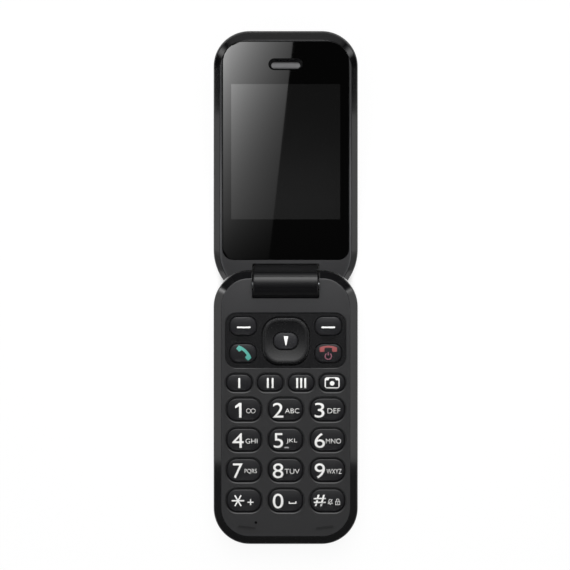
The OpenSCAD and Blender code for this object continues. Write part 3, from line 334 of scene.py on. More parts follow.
def grille_metal(name):
    """Pressed steel grille: a bar in silver lacquer on a blackened plate, with the bar painted darker towards
    its edges as painted shade of a dome.
    """
    material, tree, shader, place = start_material(name, Metallic=0.25, IOR=1.5)
    laid = add(tree, "Mapping", {"Vector": place, "Location": lid_point(0, EAR_ROW, 0),
                                 "Rotation": (LID_TILT, 0.0, 0.0)}, vector_type="TEXTURE")
    parts = add(tree, "SeparateXYZ", [laid]).outputs
    raised = add(tree, "MapRange", {"Value": parts["Z"], "From Min": -0.42 * MM, "From Max": -0.38 * MM})
    # The bar darkens from its middle to its edges: painted shade, drawn as if the flat bar were domed.
    off_middle = add(tree, "Math", [parts["Y"], BAR_LOW], operation="ADD")
    from_middle = add(tree, "Math", [off_middle], operation="ABSOLUTE")
    dome_shade = add(tree, "MapRange", {"Value": from_middle, "From Min": 0.5 * MM, "From Max": 1.3 * MM,
                                  "To Min": 1.0, "To Max": 0.25})
    shaded_bar = add(tree, "Math", [raised, dome_shade], operation="MULTIPLY")
    silver = mottled(tree, place, linear("#69696a"), linear("#757576"), patch=1.5 * MM)
    tone = add(tree, "Mix", {"Factor": shaded_bar, "A": linear("#0a0a0b"), "B": silver}, data_type="RGBA")
    # The flakes of the lacquer are 0.03 mm across; they are drawn at 0.2 mm so that they show.
    gloss, relief, _ = grained(tree, place, 0.2 * MM, 0.004 * MM, low=0.38, high=0.5)
    feed(tree, shader, {"Base Color": tone, "Roughness": gloss, "Normal": relief})
    return material


def camera_glass(name):
    """Coated camera window: black glass with a faint blue lens and a grey ring inside it."""
    window_radius = 3.4 * MM
    material, tree, shader, place = start_material(name, IOR=1.6)
    laid = add(tree, "Mapping", {"Vector": place, "Location": middle("camera_window"),
                                 "Rotation": (LID_TILT, 0.0, 0.0)}, vector_type="TEXTURE")
    flat = add(tree, "VectorMath", [laid, (1.0, 1.0, 0.0)], operation="MULTIPLY")
    radius = add(tree, "VectorMath", [flat], operation="LENGTH")
    share = add(tree, "MapRange", {"Value": radius, "From Max": window_radius})
    rings = add(tree, "ValToRGB", {"Fac": share})
    stops = rings.color_ramp.elements
    for at, value in ((0.22, "#101a2b"), (0.3, "#050608"), (0.62, "#2c2d30"), (0.7, "#060607")):
        stops.new(at).color = linear(value)
    stops[0].color = linear("#1a2740")
    stops[-1].color = linear("#0b0b0c")
    gloss, _ = drifting(tree, place, 1.5 * MM, low=0.03, high=0.07)
    feed(tree, shader, {"Base Color": rings, "Roughness": gloss})
    return material


def lens_glass(name, value, **sockets):
    """Hard-coated acrylic over a dark back: a near mirror, with faint wiping marks in its gloss."""
    material, tree, shader, place = start_material(name, **sockets)
    tone = mottled(tree, place, shade(value, 0.9), shade(value, 1.1), patch=20 * MM)
    gloss, _ = drifting(tree, place, 6 * MM, low=0.01, high=0.016)
    feed(tree, shader, {"Base Color": tone, "Roughness": gloss})
    return material


def paint(material, *nodes):
    """Gives CAD nodes a finish."""
    for name in nodes:
        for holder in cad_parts[name].material_slots:
            holder.material = material


def paint_plastics(rows):
    """Gives CAD nodes plain plastic finishes, from rows as in the tables of plastics below."""
    colours = bpy.context.scene.phone_colours
    for name, value, roughness, grain, depth, ior, nodes in rows:
        tone = getattr(colours, value, value)
        paint(moulded(name, tone, roughness, grain * MM, depth * MM, IOR=ior), *nodes)


def paint_metals(rows):
    """Gives CAD nodes metal finishes, from rows as in the tables of metals below."""
    for name, value, roughness, lay, depth, nodes in rows:
        paint(worked_metal(name, value, roughness, [size * MM for size in lay], depth * MM), *nodes)


# Modelling

def only(piece):
    """Selects one object alone and makes it active."""
    bpy.ops.object.select_all(action="DESELECT")
    piece.select_set(True)
    bpy.context.view_layer.objects.active = piece


def linked(name, data):
    """A new object in the scene."""
    made = bpy.data.objects.new(name, data)
    bpy.context.collection.objects.link(made)
    return made


def apply_place(piece):
    """Moves an object's place, turn and scale into its mesh."""
    only(piece)
    bpy.ops.object.transform_apply(location=True, rotation=True, scale=True)


def apply_modifier(piece, kind, **settings):
    """Adds a modifier, sets it and applies it."""
    only(piece)
    modifier = piece.modifiers.new(kind.title(), kind)
    for name, value in settings.items():
        setattr(modifier, name, value)
    bpy.ops.object.modifier_apply(modifier=modifier.name)


def edit(piece, steps):
    """Runs steps, each with its settings, on the whole of a mesh in edit mode."""
    only(piece)
    bpy.ops.object.mode_set(mode="EDIT")
    for step, settings in steps:
        bpy.ops.mesh.select_all(action="SELECT")
        step(**settings)
    bpy.ops.object.mode_set(mode="OBJECT")


def extent(piece, axis):
    """From where to where a mesh runs along an axis."""
    places = [vertex.co[axis] for vertex in piece.data.vertices]
    return min(places), max(places)


def fitted_text(words, weight, x0, x1, y, height):
    """Words in the built-in font as a flat mesh, made bolder by weight and fitted to a box in millimetres."""
    bpy.ops.object.text_add()
    letters = bpy.context.object.data
    letters.body = words
    letters.offset = weight
    letters.fill_mode = "FRONT"
    letters.resolution_u = 6
    bpy.ops.object.convert(target="MESH")
    text = bpy.context.object
    (left, right), (low, high) = extent(text, 0), extent(text, 1)
    text.scale = ((x1 - x0) * MM / (right - left), height * MM / (high - low), 1.0)
    text.location = (x0 * MM - left * text.scale.x, (y - height / 2) * MM - low * text.scale.y, 0.0)
    apply_place(text)
    return text


def flat_shape(*outlines):
    """A flat mesh from closed outlines in millimetres. An outline inside another is a hole."""
    curve = bpy.data.curves.new("shape", "CURVE")
    curve.dimensions = "2D"
    curve.fill_mode = "FRONT"
    for points in outlines:
        spline = curve.splines.new("POLY")
        spline.points.add(len(points) - 1)
        for point, (x, y) in zip(spline.points, points):
            point.co = (x * MM, y * MM, 0.0, 1.0)
        spline.use_cyclic_u = True
    only(linked("shape", curve))
    bpy.ops.object.convert(target="MESH")
    return bpy.context.object


def arc(x, y, radius, start, end, steps=8):
    """Points along an arc, between two angles in degrees."""
    turns = [math.radians(start + (end - start) * i / steps) for i in range(steps + 1)]
    return [(x + radius * math.cos(t), y + radius * math.sin(t)) for t in turns]


def ring(x, y, radius, steps=23):
    """Points round a circle. The last one stops short of the first."""
    return arc(x, y, radius, 0, 345, steps)


def rounded_box(x0, y0, x1, y1, r):
    """The outline of a rectangle with rounded corners."""
    return (arc(x1 - r, y1 - r, r, 0, 90) + arc(x0 + r, y1 - r, r, 90, 180)
            + arc(x0 + r, y0 + r, r, 180, 270) + arc(x1 - r, y0 + r, r, 270, 360))


def spun(points, count):
    """A row of points repeated round the origin."""
    turns = [Matrix.Rotation(2 * math.pi * i / count, 2) for i in range(count)]
    return [tuple(turn @ Vector(point)) for turn in turns for point in points]


def moved(piece, x, y, degrees=0):
    """Turns a flat mesh in its plane and moves it, in millimetres."""
    piece.rotation_euler.z = math.radians(degrees)
    piece.location = (x * MM, y * MM, 0.0)
    apply_place(piece)
    return piece


def join(pieces):
    """Several flat meshes as one."""
    only(pieces[0])
    for piece in pieces[1:]:
        piece.select_set(True)
    bpy.ops.object.join()
    return bpy.context.object


def cut_across(piece, step):
    """Cuts a flat mesh along a grid, so that it can follow a crown."""
    cuts = []
    for axis, normal in enumerate(((1.0, 0.0, 0.0), (0.0, 1.0, 0.0))):
        low, high = extent(piece, axis)
        count = math.ceil((high - low) / step)
        for i in range(1, count):
            at = low + (high - low) * i / count
            cuts.append((bpy.ops.mesh.bisect, {"plane_co": [at * n for n in normal], "plane_no": normal}))
    edit(piece, cuts + [(bpy.ops.mesh.remove_doubles, {"threshold": WELD})])


def finish_piece(piece, name, body, slot, *materials):
    """Names a finished piece, gives it its finishes and lets it ride on a body."""
    piece.name = name
    piece.data.name = name
    piece.data.materials.clear()
    for material in materials:
        piece.data.materials.append(material)
    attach(piece, body)


def print_on(node, ink, *signs, ending="_print"):
    """Lays flat signs, drawn round the middle of a cap, on that cap as a thin layer of ink."""
    sizes = bpy.context.scene.phone_sizes
    cap_low, cap_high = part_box(node)
    piece = join(signs)
    cut_across(piece, sizes.print_cut)
    piece.location = ((cap_low[0] + cap_high[0]) / 2, (cap_low[1] + cap_high[1]) / 2, cap_high[2] + MM)
    apply_place(piece)
    apply_modifier(piece, "SHRINKWRAP", target=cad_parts[node], wrap_method="PROJECT",
                   use_project_z=True, use_negative_direction=True, use_positive_direction=False)
    thickness = sizes.print_height + sizes.print_sink
    apply_modifier(piece, "SOLIDIFY", thickness=thickness,
                   offset=(sizes.print_height - sizes.print_sink) / thickness)
    finish_piece(piece, node + ending, node, "key_cap", ink)


# Finishes

# Plastics: the material, its colour or the name of that setting, its roughness, the size and depth of its
# grain in millimetres, its index of refraction and the nodes that wear it
CASE_PLASTICS = (
    # Spark-eroded ABS: an even, soft grain that scatters the light; drawn at 0.35 mm so that it shows.
    ("ABS, grained shell", "back", 0.5, 0.35, 0.012, 1.52, ("base_back_cover", "lid_cover")),
    # The removable cover is moulded in the same ABS from a finer mould, so that it looks a little smoother.
    ("ABS, battery cover", "back", 0.42, 0.25, 0.008, 1.52, ("battery_cover",)),
    # Thermoplastic rubber: dull and soft, with no clear reflection.
    ("Rubber, lid buffers", "#1c1c1d", 0.7, 0.3, 0.02, 1.5, ("lid_buffers", "microphone_boot")),
)
KEY_PLASTICS = (
    # Polished polycarbonate: dark and glossy, with the slight waviness of a moulded sheet.
    ("Polycarbonate, navigation panel", "panel", 0.24, 1.2, 0.003, 1.58, ("navigation_panel",)),
    # Lacquered caps: a silky sheen along the crown, over a fine orange peel.
    ("Lacquered polycarbonate, key caps", "cap", 0.32, 0.6, 0.002, 1.6,
     [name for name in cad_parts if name.startswith(("key_", "quick_key_", "menu_key_"))]
     + ["camera_key", "call_key", "end_key"]),
    # The select key is lacquered a little paler, so that it shows in the dark dish.
    ("Lacquered polycarbonate, select key", "select", 0.3, 0.6, 0.002, 1.6, ("select_key",)),
)
HINGE_PLASTICS = (
    # Polished ABS: near black, mirrors the light behind it in one long soft stripe.
    ("Polished ABS, hinge barrel", "barrel", 0.2, 1.5, 0.002, 1.52, ("hinge_barrel",)),
)
INSIDE_PLASTICS = (
    # Felt over the microphone: black and fibrous, so that its hole in the case looks empty.
    ("Black felt, microphone", "#060606", 0.9, 0.2, 0.03, 1.3, ("microphone",)),
    # Polyester film under the domes: milky and even.
    ("Polyester film, dome sheet", "#c9ccce", 0.35, 0.8, 0.004, 1.6, ("dome_sheet",)),
    # Silicone rubber: dull grey, with a powdery bloom.
    ("Silicone rubber, keypad mat", "#84878a", 0.65, 0.3, 0.015, 1.43, ("keypad_mat",)),
    # Printed polyester wrap of the battery: a cool grey with a soft sheen.
    ("Polyester wrap, battery", "#676e72", 0.34, 0.9, 0.006, 1.57, ("battery",)),
    # Glass-filled nylon: black, with pale fibres at its surface.
    ("Glass-filled nylon, holders", "#1b1b1d", 0.55, 0.25, 0.02, 1.53,
     ("battery_contacts", "loudspeaker", "earpiece_receiver", "camera_module", "rocker_carrier")),
    # Polariser film over the display glass: black and glossy.
    ("Polariser film, display", "#0c0d0f", 0.16, 2.0, 0.002, 1.5, ("display_panel",)),
)
# Metals: the material, its colour, its roughness, the size of its marks along each axis and their depth in
# millimetres, and the nodes that wear it
HINGE_METALS = (
    # Turned steel: fine rings round the axis.
    ("Turned steel, pins", "#a2a4a8", 0.28, (0.15, 2.0, 2.0), 0.004,
     ("hinge_shaft", "hinge_pin", "hinge_cartridge", "base_screws", "lid_screws")),
    # Sintered brass: warm, dull, with open pores.
    ("Sintered brass, bush", "#b89a5c", 0.45, (0.3, 0.3, 0.3), 0.01, ("hinge_bush",)),
)
INSIDE_METALS = (
    # Tin plate: bright, with the faint frost of the plating and the marks of the press.
    ("Tin-plated steel, cans", "#b8bbbe", 0.32, (1.5, 0.4, 1.5), 0.004,
     ("board_shield", "sim_holder", "display_tray", "charging_socket", "vibration_motor")),
    # Nickel-plated magnet: a hard, slightly warm shine.
    ("Nickel plate, magnet", "#c2c1bd", 0.2, (0.8, 0.8, 0.8), 0.002, ("lid_magnet",)),
)
# The rocker's dish: how far behind its middle its curve seems to start, and that curve's length and depth
DISH_BACK = 16 * MM
DISH_LENGTH = 8 * MM
DISH_DEPTH = 0.27 * MM


class PHONE_OT_case(bpy.types.Operator):
    """Finishes the shells of both halves"""
    bl_idname = "phone.case"
    bl_label = "Case"

    def execute(self, context):
        colours = context.scene.phone_colours
        base_centre = HINGE + Vector((0, BASE_MIDDLE, 0))
        lid_centre = lid_point(0, LID_MIDDLE, 0)
        base = bevelled_case("ABS, satin keypad face", colours, base_centre, 0.0, **BASE_FORM)
        lid = bevelled_case("ABS, satin display face", colours, lid_centre, LID_TILT, **LID_FORM)
        paint(base, "base_front_cover")
        paint(lid, "lid_frame")
        paint_plastics(CASE_PLASTICS)
        return {"FINISHED"}


class PHONE_OT_keys(bpy.types.Operator):
    """Finishes the navigation panel and all key caps"""
    bl_idname = "phone.keys"
    bl_label = "Keys"

    def execute(self, context):
        paint_plastics(KEY_PLASTICS)
        # The rocker has a glossier lacquer: its dish goes from dark, away from the light, to a soft shine.
        dish_start = middle("rocker_key") + Vector((0, DISH_BACK, 0))
        tone = context.scene.phone_colours.rocker
        rocker = dished_lacquer("Glossy lacquer, rocker", tone, 0.26, dish_start, DISH_LENGTH, DISH_DEPTH,
                                IOR=1.6)
        paint(rocker, "rocker_key")
        return {"FINISHED"}


class PHONE_OT_hinge(bpy.types.Operator):
    """Finishes the hinge barrel and the bearings in it"""
    bl_idname = "phone.hinge"
    bl_label = "Hinge"

    def execute(self, context):
        paint_plastics(HINGE_PLASTICS)
        paint_metals(HINGE_METALS)
        return {"FINISHED"}


class PHONE_OT_lens(bpy.types.Operator):
    """Cuts the display window into the lens, and finishes the lens, earpiece and camera window"""
    bl_idname = "phone.lens"
    bl_label = "Display lens"

    def execute(self, context):
        sizes = context.scene.phone_sizes
        colours = context.scene.phone_colours
        lens = linked("lens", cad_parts["display_lens"].data.copy())
        half = sizes.window_width / 2
        planes = [((side * half, 0, 0), (1, 0, 0)) for side in (-1, 1)]
        planes += [(lid_point(0, reach, 0), LID_ALONG) for reach in (sizes.window_near, sizes.window_far)]
        cuts = [(bpy.ops.mesh.bisect, {"plane_co": point, "plane_no": normal}) for point, normal in planes]
        edit(lens, [(bpy.ops.mesh.customdata_custom_splitnormals_clear, {}),
                    (bpy.ops.mesh.remove_doubles, {"threshold": WELD})] + cuts)
        # Acrylic over black print, and over the display, whose own face adds to the reflection.
        border = lens_glass("Hard-coated acrylic, black print", colours.lens, IOR=1.49)
        window = lens_glass("Hard-coated acrylic, display window", colours.window, IOR=1.66)
        finish_piece(lens, "display_lens_pane", "lid", "lens_black", border, window)
        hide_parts("display_lens")
        facing_up = 0.9
        for face in lens.data.polygons:
            place = LID_TURN.transposed() @ (face.center - HINGE)
            in_window = abs(place.x) < half and sizes.window_near < place.y < sizes.window_far
            face.material_index = int(in_window and face.normal.dot(LID_UP) > facing_up)
        only(lens)
        bpy.ops.object.shade_smooth_by_angle(angle=SMOOTH_ANGLE)
        apply_modifier(lens, "WEIGHTED_NORMAL", keep_sharp=True)
        paint(grille_metal("Lacquered steel, earpiece grille"), "earpiece_grille")
        paint(camera_glass("Coated glass, camera window"), "camera_window")
        return {"FINISHED"}


class PHONE_OT_inside(bpy.types.Operator):
    """Finishes the pieces inside both halves"""
    bl_idname = "phone.inside"
    bl_label = "Inside"

    def execute(self, context):
        paint(circuit_board("Solder mask over copper, boards"), "main_board", "lid_board")
        paint_plastics(INSIDE_PLASTICS)
        paint_metals(INSIDE_METALS)
        return {"FINISHED"}


# Printed signs

# Each digit and from where to where it runs across its cap, then the small letters beside it and where they
# run, all in millimetres from the middle of the cap
NUMBER_SIGNS = (
    ("2", -5.0, -0.9, "ABC", -0.27, 5.29), ("3", -4.95, -1.2, "DEF", 0.01, 4.99),
    ("4", -4.5, -0.1, "GHI", 0.65, 5.24), ("5", -4.65, -1.0, "JKL", 0.31, 4.43),
    ("6", -5.0, -1.0, "MNO", -0.61, 5.26), ("7", -4.3, -0.5, "PQRS", 0.26, 5.01),
    ("8", -5.0, -0.9, "TUV", -0.39, 5.37), ("9", -5.0, -1.0, "WXYZ", -0.34, 5.49),
    ("0", -5.0, -0.9, "", 0.0, 0.0),
)
# How much bolder than the font each kind of sign is drawn
DIGIT_WEIGHT = 0.0
LETTER_WEIGHT = -0.005
HASH_WEIGHT = 0.01
# How far above the middle of its cap each row of signs lies, in millimetres
DIGIT_Y = -0.25
LETTER_Y = -0.49
SMALL_SIGN_Y = -0.5
# The middle of the signs beside 0 and 1, across their caps
SIDE_X = 2.68


def ink_of(name, value):
    """Pad-printed ink: matt, dense, with the faint unevenness of the pad."""
    return moulded(name, value, 0.5, 0.4 * MM, 0.004 * MM, patch=2 * MM, IOR=1.5)


def one_sign(height):
    """The digit 1: a stem with a slanting flag."""
    left, right, flag = -1.88, -0.93, -3.4
    top, low = height / 2, -height / 2
    return flat_shape([(right, top), (left + 0.1, top), (flag, top - 1.2), (flag, top - 2.15),
                       (left, top - 1.3), (left, low), (right, low)])


def mailbox_sign():
    """Two thin rings side by side."""
    outer, inner = 0.9, 0.73
    return join([flat_shape(ring(x, 0, outer), ring(x, 0, inner)) for x in (-outer, outer)])


def star_sign():
    """Six arms of one width round a middle."""
    arm, half = 2.42, 0.27
    crotch = half / math.tan(math.radians(30))
    return flat_shape(spun([(arm, -half), (arm, half), (crotch, half)], 6))


def plus_sign():
    """A plus with arms of one width."""
    arm, half = 1.15, 0.22
    return flat_shape(spun([(arm, -half), (arm, half), (half, half)], 4))


def space_sign():
    """The open bracket that stands for a space."""
    half, stroke = 1.5, 0.4
    low, high = -0.45, 0.45
    inner, floor = half - stroke, low + stroke
    return flat_shape([(-half, high), (-half, low), (half, low), (half, high), (inner, high), (inner, floor),
                       (-inner, floor), (-inner, high)])


def silent_sign():
    """The outline of a bell, with a stroke through it."""
    bell = arc(0, 0.4, 0.62, 0, 180) + [(-0.68, -0.3), (-0.95, -0.75), (0.95, -0.75), (0.68, -0.3)]
    hollow = arc(0, 0.4, 0.45, 0, 180) + [(-0.5, -0.36), (-0.66, -0.59), (0.66, -0.59), (0.5, -0.36)]
    clapper = arc(0, -0.88, 0.28, 180, 360)
    stroke = moved(flat_shape(rounded_box(-1.3, -0.08, 1.3, 0.08, 0.06)), 0, 0, 45)
    return join([flat_shape(bell, hollow, clapper), stroke])


def lock_sign():
    """The outline of a closed padlock, with a keyhole."""
    body = rounded_box(-0.9, -1.25, 0.9, 0.25, 0.2)
    hollow = rounded_box(-0.73, -1.08, 0.73, 0.08, 0.1)
    shackle = (arc(0, 0.6, 0.6, 0, 180) + [(-0.6, 0.32), (-0.43, 0.32)]
               + arc(0, 0.6, 0.43, 180, 0) + [(0.43, 0.32), (0.6, 0.32)])
    return flat_shape(body, hollow, ring(0, -0.5, 0.2, 12), shackle)


def camera_sign():
    """A camera left dark in a white frame, with a white lens."""
    top = 1.0
    body = rounded_box(-2.45, -1.75, 2.45, top, 0.3)
    roof = [(1.45, top), (1.05, 1.8), (-1.05, 1.8), (-1.45, top)]
    corner_steps = 9
    outline = body[:corner_steps] + roof + body[corner_steps:]
    return flat_shape(rounded_box(-2.9, -2.15, 2.9, 2.15, 1.0), outline, ring(0, -0.2, 0.9))


def handset_sign(thick):
    """A handset seen from the side, with its two ends down, round its middle."""
    outer = 8.1
    middle_y = -outer + 1.2
    back_turn, hollow_turn = 24.9, 11.5
    end_low, end_r = -0.85, 0.35
    back = arc(0, middle_y, outer, 90 - back_turn, 90 + back_turn, 12)
    hollow = arc(0, middle_y, outer - thick, 90 + hollow_turn, 90 - hollow_turn, 8)
    left, right = [arc(x0, end_low, end_r, 180, 270, 4) + arc(x1, end_low, end_r, 270, 360, 4)
                   for x0, x1 in ((-3.0, -1.85), (1.85, 3.0))]
    return flat_shape(back + left + hollow + right)


def power_sign():
    """An open ring with a bar in its gap."""
    outer, inner = 1.44, 1.04
    open_ring = arc(0, 0, outer, 125, 415, 24) + arc(0, 0, inner, 415, 125, 24)
    return flat_shape(open_ring, rounded_box(-0.2, 0.3, 0.2, 1.6, 0.1))


class PHONE_OT_number_signs(bpy.types.Operator):
    """Prints the digits, letters and small signs on the number keys"""
    bl_idname = "phone.number_signs"
    bl_label = "Number signs"

    def execute(self, context):
        sizes = context.scene.phone_sizes
        ink = ink_of("Pad print, white", context.scene.phone_colours.ink)
        digit_height = sizes.digit_height / MM
        letter_height = sizes.letter_height / MM
        for digit, x0, x1, letters, start, end in NUMBER_SIGNS:
            large = fitted_text(digit, DIGIT_WEIGHT, x0, x1, DIGIT_Y, digit_height)
            if letters:
                small = fitted_text(letters, LETTER_WEIGHT, start, end, LETTER_Y, letter_height)
            else:
                small = moved(space_sign(), SIDE_X, -0.85)
            print_on(f"key_{digit}", ink, large, small)
        print_on("key_1", ink, moved(one_sign(digit_height), 0.0, DIGIT_Y),
                 moved(mailbox_sign(), SIDE_X, LETTER_Y))
        print_on("key_star", ink, moved(star_sign(), -2.32, -0.1), moved(plus_sign(), 2.58, -0.7))
        print_on("key_hash", ink, fitted_text("#", HASH_WEIGHT, -5.35, -0.65, -0.04, 4.5),
                 moved(silent_sign(), 1.1, SMALL_SIGN_Y), moved(lock_sign(), 3.98, SMALL_SIGN_Y))
        return {"FINISHED"}


class PHONE_OT_quick_signs(bpy.types.Operator):
    """Prints the bars and the camera on the quick keys, and the signs on the menu keys and the select key"""
    bl_idname = "phone.quick_signs"
    bl_label = "Quick and menu signs"

    def execute(self, context):
        ink = ink_of("Pad print, white signs", context.scene.phone_colours.ink)
        bar = rounded_box(-0.37, -1.95, 0.37, 1.95, 0.12)
        dash = rounded_box(-2.62, -0.31, 2.62, 0.31, 0.12)
        wedge = [(-0.86, 1.75), (-0.22, -1.65), (0.0, -1.75), (0.22, -1.65), (0.86, 1.75)]
        for count, pitch in ((1, 0.0), (2, 1.85), (3, 1.57)):
            places = [(i - (count - 1) / 2) * pitch for i in range(count)]
            print_on(f"quick_key_{count}", ink, *[moved(flat_shape(bar), x, -0.08) for x in places])
        print_on("camera_key", ink, camera_sign())
        for node, x in (("menu_key_left", 0.3), ("menu_key_right", -0.05)):
            print_on(node, ink, moved(flat_shape(dash), x, -0.48))
        print_on("select_key", ink, moved(flat_shape(wedge), 0.1, 0.1))
        return {"FINISHED"}


class PHONE_OT_call_signs(bpy.types.Operator):
    """Prints the handsets and the power sign on the call keys"""
    bl_idname = "phone.call_signs"
    bl_label = "Call signs"

    def execute(self, context):
        colours = context.scene.phone_colours
        end_x = -0.03
        call_sign = moved(handset_sign(thick=1.1), 0.5, 0.35, -45)
        print_on("call_key", ink_of("Pad print, teal", colours.call), call_sign)
        end_sign = moved(handset_sign(thick=0.75), end_x, 1.8)
        print_on("end_key", ink_of("Pad print, red", colours.end), end_sign)
        off_sign = moved(power_sign(), end_x, -1.1)
        print_on("end_key", ink_of("Pad print, dull red", colours.power), off_sign, ending="_power")
        return {"FINISHED"}


class PHONE_OT_touch_mark(bpy.types.Operator):
    """Adds the raised bar that a finger finds on the 5 key"""
    bl_idname = "phone.touch_mark"
    bl_label = "Touch mark"

    def execute(self, context):
        key = middle("key_5")
        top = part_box("key_5")[1][2]
        bpy.ops.mesh.primitive_cube_add(size=1.0)
        mark = context.object
        mark.scale = (1.8 * MM, 0.62 * MM, 0.5 * MM)
        mark.location = (key.x + 0.35 * MM, key.y - 3.0 * MM, top - 0.3 * MM)
        apply_place(mark)
        edit(mark, [(bpy.ops.mesh.bevel, {"offset": 0.2 * MM, "segments": 4, "affect": "EDGES"})])
        bpy.ops.object.shade_smooth_by_angle(angle=SMOOTH_ANGLE)
        # The mark is lacquered like the caps, but in a paler colour: a painted highlight on the raised bar.
        highlight_lacquer = moulded("Lacquered polycarbonate, touch mark", "#8c8c8e", 0.3, 0.6 * MM, 0.003 * MM,
                          IOR=1.5)
        finish_piece(mark, "key_5_touch_mark", "key_5", "key_cap", highlight_lacquer)
        return {"FINISHED"}


# Studio

# The lens's card as the lens mirrors it, in millimetres on the lens: its near, far and left edges, its
# slanting right edge, where it is brightest, and over what lengths it fades across and along
GLARE_NEAR, GLARE_FAR, GLARE_LEFT = 4.0, 106.0, -32.0
SLANT_START, SLANT = -7.56, 0.1058
GLARE_X, GLARE_REACH = -22.4, 90.2
FADE_ACROSS, FADE_ALONG = 14.3, 30.0
# Towards the hinge the card is dimmed to a share, over a stretch counted from where it is brightest
DIM_END, DIM_START, DIM_SHARE = -86.0, -62.0, 0.35
# How far from the lens that card stands, in metres
GLARE_AWAY = 0.6
# Where the cards at the sides, the dark ones behind them and the one beyond the tip stand, in millimetres
SIDE = 130
BEHIND_SIDE = 130.5
TIP_Y = -135
# How far the key light is from straight above, and how steeply its light falls off around it
KEY_FROM_TOP = math.radians(62)
KEY_FALL = 8.5


